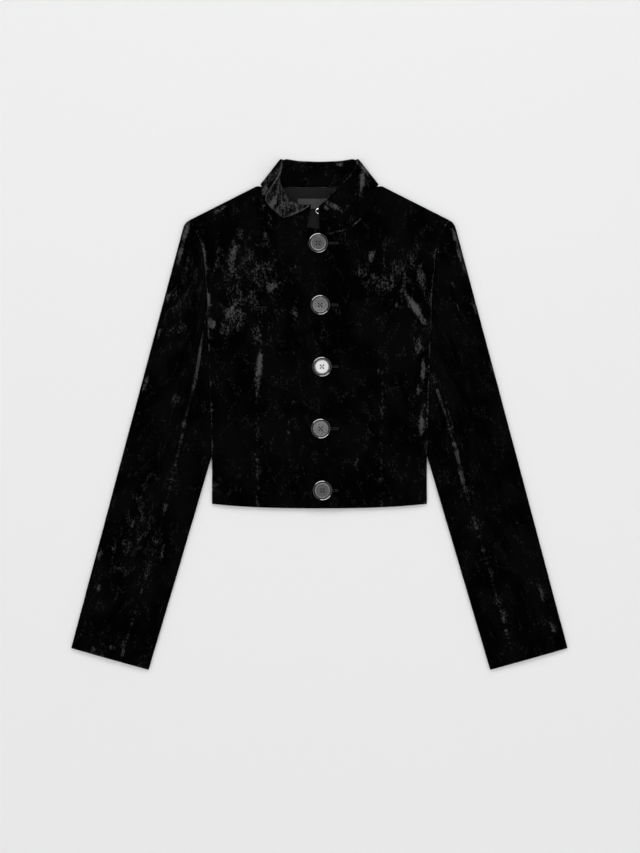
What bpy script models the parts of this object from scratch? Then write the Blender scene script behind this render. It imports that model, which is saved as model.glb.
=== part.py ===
"""A cropped velvet jacket with a stand collar and five large buttons, laid flat on its back.

X runs to the viewer's right, Y from the cuffs to the collar and Z up from the table. The wearer's left is
the viewer's right. Every cloth piece is a wall between an outer and an inner grid of points, and each grid
comes from the seam lines and heights below. Sizes are in metres and angles in degrees.
"""

import math

import bmesh
import bpy
import numpy as np
from mathutils import Vector

# Cloth
CLOTH = 0.0018
COLLAR_CLOTH = 0.0024
FACING_CLOTH = 0.0010
LABEL_CLOTH = 0.0008
GAP = 0.0003
SEAM_CLEAR = 0.0006
COLLAR_CLEAR = 0.0009

# Body, seen from above; the two halves share one outline
SHOULDER_X = 0.1840
SHOULDER_Y = 0.2745
NECK_X = 0.0890
NECK_Y = 0.3225
BACK_NECK_Y = 0.3205
BACK_NECK_BEND = 8.0
HEM_Y = -0.1330
HEM_SIDE_Y = -0.1267
HEM_BEND = 2.6
OVERLAP = 0.0170
BACK_HEM_SHORT = 0.0010

# Height on the jacket, half width of the body there; the last row carries the armhole past the shoulder
SIDE_LINE = (
    (-0.1330, 0.1520),
    (-0.0600, 0.1520),
    (0.0500, 0.1550),
    (0.1250, 0.1575),
    (0.1650, 0.1585),
    (0.2000, 0.1610),
    (0.2380, 0.1665),
    (0.2570, 0.1735),
    (0.2745, 0.1840),
    (0.3000, 0.2010),
)

# Distance out from the centre line, height of the neck seam there
NECK_LINE = (
    (-0.0170, 0.2645),
    (0.0000, 0.2612),
    (0.0136, 0.2580),
    (0.0300, 0.2615),
    (0.0434, 0.2670),
    (0.0576, 0.2780),
    (0.0690, 0.2915),
    (0.0770, 0.3030),
    (0.0830, 0.3130),
    (0.0890, 0.3225),
)

# How high the fronts lie
FRONT_LAY = 0.0070
SEAM_LAY = 0.0040
SHOULDER_ROLL = 0.0070
SIDE_ROLL = 0.0080
OVERLAP_RAMP = (0.0200, 0.0400)
TUCK_RISE = 0.0019
TUCK_IN = (0.0800, 0.1050)
TUCK_FOOT = (-0.0850, -0.0600)
TUCK_HEAD = (0.1300, 0.1700)

# Waist darts: share of the front's width, height of the point, groove
DART_SHARE = 0.62
DART_TOP = 0.0700
DART_FADE = 0.0300
DART_DEPTH = 0.0008
DART_WIDTH = 0.0022

# Largest folds of the fronts: start, end, half width, height
FOLDS = (
    ((0.1230, 0.1700), (0.1500, 0.1280), 0.0060, 0.0016),
    ((0.0980, 0.2050), (0.1420, 0.1850), 0.0090, 0.0010),
    ((-0.1520, 0.1360), (-0.1300, 0.1050), 0.0060, 0.0014),
    ((-0.0840, 0.1060), (-0.0850, 0.0350), 0.0050, 0.0011),
    ((-0.0500, 0.2350), (-0.1050, 0.2000), 0.0100, 0.0010),
)

# Sleeves, from the cuff up
CUFF_X = 0.2964
CUFF_Y = -0.3461
CUFF_HALF = 0.0572
SLEEVE_TILT = 15.7
SLEEVE_FLARE = 0.0133
CAP_CORNER_SHARE = 0.047
CAP_CORNER_DROP = 0.0100
CAP_TIP = 0.6270
UNDERARM_SHARE = 0.57
UNDERARM_TOP = 0.4600
SLEEVE_EDGE = 0.0052
SLEEVE_CROWN = 0.0020
TUCKED_SLEEVE = 0.0044
TUCKED_LIFT = 0.0021
TUCK_SPREAD = (0.0140, 0.0320)
CAP_BLEND = (0.1250, 0.1700)
BACK_SEAM_SHARE = 0.30

# Way up the sleeve, share of the sleeve's width where the front seam lies
FRONT_SEAM = {
    "left": ((0.0, 0.680), (0.3, 0.675), (0.5, 0.680), (0.7, 0.665), (0.85, 0.675), (1.0, 0.690)),
    "right": ((0.0, 0.634), (0.2, 0.646), (0.4, 0.655), (0.6, 0.622), (0.8, 0.580), (1.0, 0.490)),
}

# Collar sections: seam place out from the centre, heading towards the centre, stand, leaf, turn out, rise
COLLAR_LEFT = (
    (0.0000, 2.0, 0.0200, 0.0040, 0.0, 0.0020),
    (0.0136, 3.5, 0.0270, 0.0130, 30.0, 0.0024),
    (0.0300, 5.0, 0.0320, 0.0180, 15.0, 0.0040),
    (0.0434, 6.5, 0.0350, 0.0205, 0.0, 0.0045),
    (0.0576, 12.7, 0.0335, 0.0200, 0.0, 0.0045),
    (0.0690, 21.7, 0.0310, 0.0175, 0.0, 0.0042),
    (0.0770, 29.2, 0.0290, 0.0162, 0.0, 0.0034),
    (0.0825, 34.9, 0.0280, 0.0152, 0.0, 0.0022),
)
COLLAR_RIGHT = (
    (0.0195, 12.0, 0.0320, 0.0025, 80.0, 0.0020),
    (0.0290, 16.0, 0.0310, 0.0050, 150.0, 0.0020),
    (0.0410, 24.0, 0.0290, 0.0110, 180.0, 0.0020),
    (0.0530, 32.0, 0.0260, 0.0220, 184.0, 0.0020),
    (0.0620, 44.8, 0.0238, 0.0222, 184.0, 0.0020),
    (0.0715, 51.4, 0.0256, 0.0265, 184.0, 0.0022),
    (0.0785, 52.1, 0.0263, 0.0250, 165.0, 0.0025),
    (0.0825, 46.0, 0.0300, 0.0110, 85.0, 0.0030),
)
COLLAR_BACK = (
    (0.0700, 31.0, 0.0240, 0.0155),
    (0.0450, 20.5, 0.0210, 0.0120),
    (0.0200, 9.0, 0.0190, 0.0110),
    (0.0000, 0.0, 0.0185, 0.0106),
)
COLLAR_ROLL = 0.0022
COLLAR_LEAST_TURN = 0.01
COLLAR_SLOPE_STEP = 0.0005
COLLAR_SEAM_DROP = 0.0005
SIDE_FOLD_SEAM = (0.0840, 0.3252)
SIDE_FOLD_TOP = (0.0560, 0.3605)
SIDE_FOLD_RADII = (0.0022, 0.0030)
SIDE_FOLD_BACK_RISE = 0.06
SIDE_FOLD_ANGLES = (90.0, 45.0, 0.0, -45.0, -90.0)

# Neck facing and label
FACING_HALF = 0.0760
FACING_LOW = 0.2500
FACING_BOW = 0.0300
LABEL_LEFT = -0.0310
LABEL_RIGHT = 0.0310
LABEL_LOW = 0.2910
LABEL_TOP = 0.3050

# Buttons: the turned profile is distance from the centre and height, from the rim's foot over the top
BUTTON_RADIUS = 0.0138
BUTTON_HEIGHT = 0.0042
BUTTON_PROFILE = (
    (0.0100, 0.0000),
    (0.0131, 0.0012),
    (BUTTON_RADIUS, 0.0026),
    (0.0136, 0.0035),
    (0.0129, BUTTON_HEIGHT),
    (0.0120, 0.0038),
    (0.0114, 0.0029),
    (0.0107, 0.0038),
    (0.0093, 0.0034),
    (0.0060, 0.0031),
)
BUTTON_SIDES = 24
BUTTON_HOLE_RADIUS = 0.0010
BUTTON_HOLE_PLACE = 0.0021
BUTTON_HOLE_SIDES = 8
BUTTON_TOP_Y = 0.2418
BUTTON_PITCH = 0.0873
BUTTON_X = (-0.0016, 0.0012, 0.0036, 0.0018, 0.0043)

# Metal eye at the collar's front edge
EYE_WIRE = 0.0005
EYE_LEGS_X = -0.0014
EYE_BEND_X = -0.0050
EYE_LOW = 0.2835
EYE_HIGH = 0.2905
EYE_RISE = 0.0024
EYE_POINTS = 9
EYE_ROUNDING = 2

# Colour, roughness and metallic value of each finish
FINISHES = {
    "velvet": ((0.012, 0.012, 0.013), 0.92, 0.0),
    "lining": ((0.035, 0.034, 0.035), 0.55, 0.0),
    "label": ((0.100, 0.095, 0.095), 0.65, 0.0),
    "button": ((0.180, 0.180, 0.185), 0.22, 1.0),
    "metal": ((0.600, 0.600, 0.610), 0.20, 1.0),
}

# Grid sizes
BODY_ROWS_BELOW = 9
BODY_ROWS_ABOVE = 14
DART_SHARES = (-0.030, -0.015, 0.0, 0.015, 0.040)
FRONT_SIDE_SHARES = (0.73, 0.80, 0.87, 0.94, 1.0)
BACK_SHARES = (0.17, 0.34, 0.64, 0.77, 0.89, 1.0)
SLEEVE_ROWS = 22
TOP_PIECE_COLUMNS = (12, 4)
UNDER_PIECE_COLUMNS = (6, 7)
EDGE_ANGLES = (60.0, 20.0, -20.0, -60.0)
COLLAR_STAND_POINTS = 5
COLLAR_ROLL_POINTS = 4
COLLAR_LEAF_POINTS = 3
COLLAR_POINTS = COLLAR_STAND_POINTS + COLLAR_ROLL_POINTS + COLLAR_LEAF_POINTS
FACING_GRID = (9, 4)
LABEL_GRID = (3, 3)

# Lengths tried where a sleeve meets the armhole: shortest, longest, how many
ARMHOLE_LENGTHS = (0.30, 0.70, 801)

# Edges sharper than this stay sharp in shading
SHARP_ANGLE = 40.0


def ramp(value, start, end):
    """A soft step from 0 at start to 1 at end."""
    share = np.clip((value - start) / (end - start), 0.0, 1.0)
    return share * share * (3.0 - 2.0 * share)


def smooth(table, at):
    """A smooth curve through a table's rows: cubic pieces with slopes taken from the neighbouring rows."""
    keys, values = np.array(table).T
    slopes = np.gradient(values, keys)
    low = np.clip(np.searchsorted(keys, at) - 1, 0, len(keys) - 2)
    step = keys[low + 1] - keys[low]
    share = np.clip((at - keys[low]) / step, 0.0, 1.0)
    rest = 1.0 - share
    start = values[low] * (1.0 + 2.0 * share) * rest**2 + slopes[low] * step * share * rest**2
    end = values[low + 1] * (1.0 + 2.0 * rest) * share**2 - slopes[low + 1] * step * rest * share**2
    return start + end


def points(x, y, z):
    """One array of points from three coordinates of any matching shapes."""
    return np.stack(np.broadcast_arrays(x, y, z), axis=-1)


def material(name, finish):
    """A plain finish for one object."""
    colour, roughness, metallic = FINISHES[finish]
    made = bpy.data.materials.new(name + "_finish")
    made.use_nodes = True
    shader = made.node_tree.nodes["Principled BSDF"]
    shader.inputs["Base Color"].default_value = (*colour, 1.0)
    shader.inputs["Roughness"].default_value = roughness
    shader.inputs["Metallic"].default_value = metallic
    return made


def add_object(name, data, finish, holder):
    """Puts an object with its own material on the holder."""
    data.materials.clear()
    data.materials.append(material(name, finish))
    made = bpy.data.objects.new(name, data)
    bpy.context.collection.objects.link(made)
    made.parent = holder
    return made


def closed_mesh(name, corners, faces):
    """A mesh with its faces turned outwards and shaded smooth up to its edges."""
    mesh = bpy.data.meshes.new(name)
    mesh.from_pydata(corners, [], faces)
    work = bmesh.new()
    work.from_mesh(mesh)
    bmesh.ops.recalc_face_normals(work, faces=work.faces)
    work.to_mesh(mesh)
    work.free()
    mesh.shade_smooth()
    mesh.set_sharp_from_angle(angle=math.radians(SHARP_ANGLE))
    return mesh


def wall(name, outer, inner, finish, holder):
    """A cloth wall between two grids of points, closed round its border."""
    rows, columns = outer.shape[:2]
    count = rows * columns
    index = np.arange(count).reshape(rows, columns)
    quads = np.stack([index[:-1, :-1], index[1:, :-1], index[1:, 1:], index[:-1, 1:]], axis=-1)
    quads = quads.reshape(-1, 4)
    border = np.concatenate([index[0, :-1], index[:-1, -1], index[-1, :0:-1], index[:0:-1, 0]])
    following = np.roll(border, -1)
    rim = np.stack([border, following, following + count, border + count], axis=-1)
    corners = np.concatenate([outer.reshape(-1, 3), inner.reshape(-1, 3)])
    faces = np.concatenate([quads, quads[:, ::-1] + count, rim])
    add_object(name, closed_mesh(name, corners.tolist(), faces.tolist()), finish, holder)


def body_edge(y):
    """Half width of a body panel at a height, no wider than the shoulders."""
    return np.minimum(smooth(SIDE_LINE, y), SHOULDER_X)


def shoulder_line(out):
    """Height of the straight shoulder seam at a distance out from the centre."""
    return NECK_Y + (out - NECK_X) * (SHOULDER_Y - NECK_Y) / (SHOULDER_X - NECK_X)


def back_neck_line(out):
    """The back neck edge's shallow curve, lowest at the centre."""
    return BACK_NECK_Y + (NECK_Y - BACK_NECK_Y) * np.abs(out / NECK_X) ** BACK_NECK_BEND


def hem_line(out):
    """The hem's shallow curve, lowest at the centre."""
    return HEM_Y + (HEM_SIDE_Y - HEM_Y) * np.abs(out / body_edge(HEM_Y)) ** HEM_BEND


def fold_height(x, y):
    """Sum of the soft ridges that stand up along the fold lines."""
    total = np.zeros(np.broadcast(x, y).shape)
    for (start_x, start_y), (end_x, end_y), half_width, height in FOLDS:
        run_x = end_x - start_x
        run_y = end_y - start_y
        along = ((x - start_x) * run_x + (y - start_y) * run_y) / (run_x**2 + run_y**2)
        along = np.clip(along, 0.0, 1.0)
        away = np.hypot(x - start_x - along * run_x, y - start_y - along * run_y)
        total = total + height * np.exp(-((away / half_width) ** 2))
    return total


def front_height(x, y):
    """Upper face of the front layer: a level lay, raised over the sleeves and rolled down at the seams."""
    out = np.abs(x)
    over_sleeve = ramp(out, *TUCK_IN) * ramp(y, *TUCK_FOOT) * (1.0 - ramp(y, *TUCK_HEAD))
    height = FRONT_LAY + TUCK_RISE * over_sleeve + fold_height(x, y)
    from_side = np.maximum(body_edge(y) - out, 0.0)
    side_drop = (1.0 - ramp(y, *TUCK_FOOT)) * np.exp(-from_side / SIDE_ROLL)
    height = height + (SEAM_LAY - height) * side_drop
    slope = math.atan2(NECK_Y - SHOULDER_Y, SHOULDER_X - NECK_X)
    below = np.maximum(shoulder_line(out) - y, 0.0) * math.cos(slope)
    return SEAM_LAY + (height - SEAM_LAY) * (1.0 - np.exp(-below / SHOULDER_ROLL))


def top_front_height(x, y):
    """Upper face of the wearer's left front, which lies on the other along the buttons."""
    return front_height(x, y) + (CLOTH + GAP) * (1.0 - ramp(x, *OVERLAP_RAMP))


def dart_groove(share, width, y):
    """Depth of the waist dart's groove across the width of a front."""
    away = (share - DART_SHARE) * width
    fade = 1.0 - ramp(y, DART_TOP - DART_FADE, DART_TOP)
    return DART_DEPTH * np.exp(-((away / DART_WIDTH) ** 2)) * fade


def body_rows():
    """Ways up a body panel's side, closer together along the armhole."""
    underarm = (TUCK_HEAD[0] - HEM_SIDE_Y) / (SHOULDER_Y - HEM_SIDE_Y)
    below = np.linspace(0.0, underarm, BODY_ROWS_BELOW)
    above = np.linspace(underarm, 1.0, BODY_ROWS_ABOVE)
    return np.concatenate([below, above[1:]])[:, None]


def front_columns(collar_table):
    """Shares of a front's width: one at each collar section, then across the dart to the side."""
    neck_places = [-OVERLAP] + [row[0] for row in collar_table] + [NECK_X]
    neck = (np.array(neck_places) + OVERLAP) / (SHOULDER_X + OVERLAP)
    dart = DART_SHARE + np.array(DART_SHARES)
    return np.concatenate([neck, dart, FRONT_SIDE_SHARES])[None, :]


def make_front(name, side, height_at, collar_table, holder):
    """One front: columns run from the front edge to the side seam, rows from the hem to the shoulder."""
    share = front_columns(collar_table)
    way = body_rows()
    width = body_edge(HEM_SIDE_Y + way * (SHOULDER_Y - HEM_SIDE_Y)) + OVERLAP
    out = share * width - OVERLAP
    top_out = out[-1:, :]
    top = np.where(top_out < NECK_X, smooth(NECK_LINE, top_out), shoulder_line(top_out))
    low = hem_line(out[:1, :])
    y = low + way * (top - low)
    x = side * out
    upper = height_at(x, y) - dart_groove(share, width, y)
    wall(name, points(x, y, upper), points(x, y, upper - CLOTH), "velvet", holder)


def make_back(holder):
    """The flat back panel under everything."""
    half = np.sort(np.append(BACK_SHARES, NECK_X / SHOULDER_X))
    share = np.concatenate([-half[::-1], [0.0], half])[None, :]
    way = body_rows()
    width = body_edge(HEM_SIDE_Y + way * (SHOULDER_Y - HEM_SIDE_Y))
    x = share * width
    top_out = np.abs(x[-1:, :])
    top = np.minimum(shoulder_line(top_out), back_neck_line(top_out))
    low = hem_line(x[:1, :]) + BACK_HEM_SHORT
    y = low + way * (top - low)
    wall("back", points(x, y, CLOTH), points(x, y, 0.0), "velvet", holder)


def sleeve_width_ends(length):
    """Outer and inner edge of a sleeve, across from its middle line, at a length up from the cuff."""
    half = CUFF_HALF + SLEEVE_FLARE * length
    return -half, half


def sleeve_plan(side, length, share):
    """Place on the table of a point at a length up the sleeve and a share of its width from outside."""
    tilt = math.radians(SLEEVE_TILT)
    outer, inner = sleeve_width_ends(length)
    across = outer + share * (inner - outer)
    x = CUFF_X - length * math.sin(tilt) - across * math.cos(tilt)
    y = CUFF_Y + length * math.cos(tilt) - across * math.sin(tilt)
    return side * x, y


def sleeve_length(share):
    """Length of the sleeve from cuff to armhole at a share of its width, tucked in past the underarm."""
    ladder = np.linspace(*ARMHOLE_LENGTHS)
    visible = np.minimum(share, UNDERARM_SHARE)
    x, y = sleeve_plan(1.0, ladder, visible[..., None])
    outside = x - smooth(SIDE_LINE, y)
    length = ladder[np.argmax(outside < SEAM_CLEAR, axis=-1)]
    corner = np.clip(1.0 - share / CAP_CORNER_SHARE, 0.0, 1.0)
    length = np.where(share < CAP_CORNER_SHARE, CAP_TIP - CAP_CORNER_DROP * corner**2, length)
    tucked = np.clip((share - UNDERARM_SHARE) / (1.0 - UNDERARM_SHARE), 0.0, 1.0)
    hidden = UNDERARM_TOP + (length - UNDERARM_TOP) * (1.0 - tucked) ** 2
    return np.where(share > UNDERARM_SHARE, hidden, length)


def sleeve_tuck(x, y):
    """How far a point of the sleeve is tucked in beside or under the body's edge, from 0 to 1."""
    outside = np.abs(x) - smooth(SIDE_LINE, y)
    return (1.0 - ramp(outside, *TUCK_SPREAD)) * (1.0 - ramp(y, *CAP_BLEND))


def sleeve_face(side, way, share, upper):
    """Outer and inner points on the sleeve's upper or lower face."""
    x, y = sleeve_plan(side, way * sleeve_length(share), share)
    tuck = sleeve_tuck(x, y)
    low = TUCKED_LIFT * tuck
    loose = SLEEVE_EDGE + SLEEVE_CROWN * np.sin(math.pi * share)
    high = low + loose + (TUCKED_SLEEVE - loose) * tuck
    if upper:
        return points(x, y, high), points(x, y, high - CLOTH)
    return points(x, y, low), points(x, y, low + CLOTH)


def sleeve_fold(side, way, at_inner_edge):
    """Outer and inner points round the sleeve's folded edge, from the upper face to the lower."""
    edge_share = np.full_like(way, 1.0 if at_inner_edge else 0.0)
    length = way * sleeve_length(edge_share)
    x, y = sleeve_plan(side, length, edge_share)
    tuck = sleeve_tuck(x, y)
    low = TUCKED_LIFT * tuck
    radius = (SLEEVE_EDGE + (TUCKED_SLEEVE - SLEEVE_EDGE) * tuck) / 2.0
    outer_edge, inner_edge = sleeve_width_ends(length)
    width = inner_edge - outer_edge
    angle = np.radians(np.array(EDGE_ANGLES))[None, :]
    grids = []
    for reach in (radius, radius - CLOTH):
        inset = (radius - reach * np.cos(angle)) / width
        share = 1.0 - inset if at_inner_edge else inset
        x, y = sleeve_plan(side, way * sleeve_length(share), share)
        grids.append(points(x, y, low + radius + reach * np.sin(angle)))
    return grids


def join_columns(*strips):
    """Joins strips of outer and inner points side by side."""
    outer, inner = zip(*strips)
    return np.concatenate(outer, axis=1), np.concatenate(inner, axis=1)


def columns_between(start, end, count):
    """Evenly spaced columns from one share of the width to another, for every row."""
    return start + (end - start) * np.linspace(0.0, 1.0, count)[None, :]


def make_sleeve(name, side, holder):
    """The two pieces of a sleeve: one folds round the outer edge, the other round the inner edge."""
    way = np.linspace(0.0, 1.0, SLEEVE_ROWS)[:, None]
    front_seam = smooth(FRONT_SEAM[name], way)
    fold_inset = SLEEVE_EDGE / 2.0 / (2.0 * CUFF_HALF)
    half_gap = GAP / (2.0 * CUFF_HALF)
    above, below = TOP_PIECE_COLUMNS
    top_piece = join_columns(
        sleeve_face(side, way, columns_between(front_seam - half_gap, fold_inset, above), True),
        sleeve_fold(side, way, False),
        sleeve_face(side, way, columns_between(fold_inset, BACK_SEAM_SHARE - half_gap, below), False),
    )
    above, below = UNDER_PIECE_COLUMNS
    under_piece = join_columns(
        sleeve_face(side, way, columns_between(front_seam + half_gap, 1.0 - fold_inset, above), True),
        sleeve_fold(side, way, True),
        sleeve_face(side, way, columns_between(1.0 - fold_inset, BACK_SEAM_SHARE + half_gap, below), False),
    )
    wall("sleeve_" + name + "_top", *top_piece, "velvet", holder)
    wall("sleeve_" + name + "_under", *under_piece, "velvet", holder)


def collar_section(seam, heading, side, stand, leaf, turn, rise):
    """Middle line of the collar from its seam: a straight stand, a roll that turns out, a straight leaf."""
    roll = math.pi * COLLAR_ROLL
    stand_at = np.linspace(0.0, stand, COLLAR_STAND_POINTS)
    roll_at = np.linspace(0.0, roll, COLLAR_ROLL_POINTS + 1)[1:]
    leaf_at = np.linspace(0.0, leaf, COLLAR_LEAF_POINTS + 1)[1:]
    turned = math.radians(max(turn, COLLAR_LEAST_TURN))
    bend = roll / turned
    roll_forward = bend * np.sin(roll_at / bend)
    roll_up = bend * (1.0 - np.cos(roll_at / bend))
    leaf_forward = roll_forward[-1] + leaf_at * math.cos(turned)
    leaf_up = roll_up[-1] + leaf_at * math.sin(turned)
    forward = np.concatenate([stand_at, stand + roll_forward, stand + leaf_forward])
    slope = rise * np.clip(forward / stand, 0.0, None)
    up = slope + np.concatenate([np.zeros(COLLAR_STAND_POINTS), roll_up, leaf_up])
    angle = math.radians(heading)
    x = seam[0] - side * math.sin(angle) * forward
    y = seam[1] + math.cos(angle) * forward
    return points(x, y, seam[2] + up)


def front_collar(table, side, height_at):
    """Collar sections along one front's neck seam, from the front edge to the side of the neck."""
    sections = []
    for out, heading, stand, leaf, turn, rise in table:
        step = COLLAR_SLOPE_STEP
        slope = (smooth(NECK_LINE, out + step) - smooth(NECK_LINE, out - step)) / (2.0 * step)
        y = smooth(NECK_LINE, out)
        away = COLLAR_CLEAR / math.hypot(1.0, slope)
        seam_x = side * (out - slope * away)
        seam_y = y + away
        seam_z = float(height_at(side * out, y)) - COLLAR_SEAM_DROP
        sections.append(collar_section((seam_x, seam_y, seam_z), heading, side, stand, leaf, turn, rise))
    return sections


def side_fold(side):
    """Collar sections round the fold at the side of the neck, from the front layer down to the back layer."""
    seam = np.array(SIDE_FOLD_SEAM)
    top = np.array(SIDE_FOLD_TOP)
    line = top - seam
    outward = np.array([line[1], -line[0]]) / np.linalg.norm(line)
    way = np.linspace(0.0, 1.0, COLLAR_POINTS)
    radius = SIDE_FOLD_RADII[0] + (SIDE_FOLD_RADII[1] - SIDE_FOLD_RADII[0]) * way
    sections = []
    for angle in np.radians(SIDE_FOLD_ANGLES):
        reach = radius * (math.cos(angle) - 1.0) - COLLAR_CLOTH / 2.0
        longer = 1.0 + SIDE_FOLD_BACK_RISE * (1.0 - math.sin(angle)) / 2.0
        place = seam + longer * way[:, None] * line + reach[:, None] * outward
        z = COLLAR_CLOTH / 2.0 + radius * (1.0 + math.sin(angle))
        sections.append(points(side * place[:, 0], place[:, 1], z))
    return sections


def back_collar(side):
    """Collar sections along the back neck seam, flat on the table, from the side towards the centre."""
    sections = []
    for out, heading, stand, leaf in COLLAR_BACK:
        seam = (side * out, BACK_NECK_Y + COLLAR_CLEAR, COLLAR_CLOTH / 2.0)
        sections.append(collar_section(seam, heading, side, stand, leaf, 0.0, 0.0))
    return sections


def halve_steps(sections):
    """Adds a section midway between each two, on the cubic curve through their neighbours."""
    before = np.concatenate([sections[:1], sections[:-2]])
    after = np.concatenate([sections[2:], sections[-1:]])
    midway = (9.0 * (sections[:-1] + sections[1:]) - before - after) / 16.0
    dense = np.empty((2 * len(sections) - 1, *sections.shape[1:]))
    dense[0::2] = sections
    dense[1::2] = midway
    return dense


def make_collar(holder):
    """The collar as one band, from its left front edge round the back to its right front edge."""
    left = front_collar(COLLAR_LEFT, 1.0, top_front_height) + side_fold(1.0) + back_collar(1.0)
    right = front_collar(COLLAR_RIGHT, -1.0, front_height) + side_fold(-1.0) + back_collar(-1.0)
    middle = halve_steps(np.array(left + right[-2::-1]))
    middle[..., 2] = np.maximum(middle[..., 2], COLLAR_CLOTH / 2.0)
    along = np.gradient(middle, axis=0)
    across = np.gradient(middle, axis=1)
    normal = np.cross(along, across)
    normal /= np.linalg.norm(normal, axis=2, keepdims=True)
    half = normal * COLLAR_CLOTH / 2.0
    wall("collar", middle + half, middle - half, "velvet", holder)


def make_neck_facing(holder):
    """The strip of lining that shows inside the back of the neck, and the blank label on it."""
    x = np.linspace(-FACING_HALF, FACING_HALF, FACING_GRID[0])[None, :]
    way = np.linspace(0.0, 1.0, FACING_GRID[1])[:, None]
    low = FACING_LOW + FACING_BOW * (x / FACING_HALF) ** 2
    y = low + way * (BACK_NECK_Y - GAP - low)
    base = CLOTH + GAP
    wall("back_neck_facing", points(x, y, base + FACING_CLOTH), points(x, y, base), "lining", holder)
    x = np.linspace(LABEL_LEFT, LABEL_RIGHT, LABEL_GRID[0])[None, :]
    y = np.linspace(LABEL_LOW, LABEL_TOP, LABEL_GRID[1])[:, None]
    base = base + FACING_CLOTH + GAP
    wall("neck_label", points(x, y, base + LABEL_CLOTH), points(x, y, base), "label", holder)


def turned_mesh(name, profile, sides):
    """A solid of revolution about Z, closed by a flat face below and above."""
    angle = np.linspace(0.0, 2.0 * math.pi, sides, endpoint=False)[:, None]
    radius, height = np.array(profile).T
    corners = points(radius * np.cos(angle), radius * np.sin(angle), height).reshape(-1, 3)
    rings = len(profile)
    index = np.arange(sides * rings).reshape(sides, rings)
    after = np.roll(index, -1, axis=0)
    quads = np.stack([index[:, :-1], after[:, :-1], after[:, 1:], index[:, 1:]], axis=-1)
    quads = quads.reshape(-1, 4)
    faces = quads.tolist() + [index[:, 0].tolist(), index[:, -1].tolist()]
    return closed_mesh(name, corners.tolist(), faces)


def button_mesh():
    """One button with four sewing holes cut through it."""
    button = bpy.data.objects.new("button_blank", turned_mesh("button_blank", BUTTON_PROFILE, BUTTON_SIDES))
    bpy.context.collection.objects.link(button)
    drill = ((BUTTON_HOLE_RADIUS, -BUTTON_HEIGHT), (BUTTON_HOLE_RADIUS, 2.0 * BUTTON_HEIGHT))
    drill_mesh = turned_mesh("button_drill", drill, BUTTON_HOLE_SIDES)
    cutters = []
    for across in (-BUTTON_HOLE_PLACE, BUTTON_HOLE_PLACE):
        for up in (-BUTTON_HOLE_PLACE, BUTTON_HOLE_PLACE):
            cutter = bpy.data.objects.new("button_drill", drill_mesh)
            cutter.location = (across, up, 0.0)
            cutter.hide_render = True
            cutter.display_type = "WIRE"
            bpy.context.collection.objects.link(cutter)
            cut = button.modifiers.new("sewing_hole", "BOOLEAN")
            cut.operation = "DIFFERENCE"
            cut.object = cutter
            cutters.append(cutter)
    evaluated = button.evaluated_get(bpy.context.evaluated_depsgraph_get())
    mesh = bpy.data.meshes.new_from_object(evaluated)
    for spent in [button] + cutters:
        bpy.data.objects.remove(spent)
    return mesh


def make_buttons(holder):
    """Five buttons down the overlap, each just clear of the front."""
    mesh = button_mesh()
    angle = np.linspace(0.0, 2.0 * math.pi, BUTTON_SIDES)
    for number, x in enumerate(BUTTON_X):
        y = BUTTON_TOP_Y - number * BUTTON_PITCH
        under = top_front_height(x + BUTTON_RADIUS * np.cos(angle), y + BUTTON_RADIUS * np.sin(angle))
        button = add_object("button_" + str(number + 1), mesh.copy(), "button", holder)
        button.location = (x, y, float(under.max()) + GAP)


def make_collar_eye(holder):
    """A bent wire eye whose legs start at the collar's left front edge."""
    middle = (EYE_LOW + EYE_HIGH) / 2.0
    reach = (EYE_HIGH - EYE_LOW) / 2.0
    angle = np.linspace(math.pi / 2.0, 3.0 * math.pi / 2.0, EYE_POINTS)
    x = EYE_LEGS_X + (EYE_LEGS_X - EYE_BEND_X) * np.cos(angle)
    y = middle + reach * np.sin(angle)
    z = float(top_front_height(0.0, smooth(NECK_LINE, 0.0))) - COLLAR_SEAM_DROP + EYE_RISE
    curve = bpy.data.curves.new("collar_eye", "CURVE")
    curve.dimensions = "3D"
    curve.bevel_depth = EYE_WIRE
    curve.bevel_resolution = EYE_ROUNDING
    curve.use_fill_caps = True
    spline = curve.splines.new("POLY")
    spline.points.add(EYE_POINTS - 1)
    for point, place in zip(spline.points, points(x, y, z)):
        point.co = (*place, 1.0)
    add_object("collar_eye", curve, "metal", holder)


def centre_on_table(holder):
    """Moves the jacket so that the middle of its outline lies at the origin."""
    bpy.context.view_layer.update()
    corners = []
    for piece in holder.children:
        corners += [piece.matrix_world @ Vector(corner) for corner in piece.bound_box]
    spread = np.array(corners)
    middle = (spread.min(axis=0) + spread.max(axis=0)) / 2.0
    holder.location = (-middle[0], -middle[1], -spread[:, 2].min())


def main():
    """Builds the jacket in an empty scene."""
    for old in list(bpy.data.objects):
        bpy.data.objects.remove(old)
    holder = bpy.data.objects.new("jacket", None)
    bpy.context.collection.objects.link(holder)
    make_back(holder)
    make_front("front_left", 1.0, top_front_height, COLLAR_LEFT, holder)
    make_front("front_right", -1.0, front_height, COLLAR_RIGHT, holder)
    make_sleeve("left", 1.0, holder)
    make_sleeve("right", -1.0, holder)
    make_collar(holder)
    make_neck_facing(holder)
    make_buttons(holder)
    make_collar_eye(holder)
    centre_on_table(holder)


main()
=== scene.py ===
"""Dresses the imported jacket: crushed velvet, lining, a blank label, buttons with thread and a pale table.

X runs to the viewer's right, Y from the cuffs to the collar and Z up from the table, in metres. Every
cloth piece is a thin closed shell between an outer and an inner grid of points on the form of its solid. The
file is laid out as an add-on and is run as a script.
"""

import math

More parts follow.
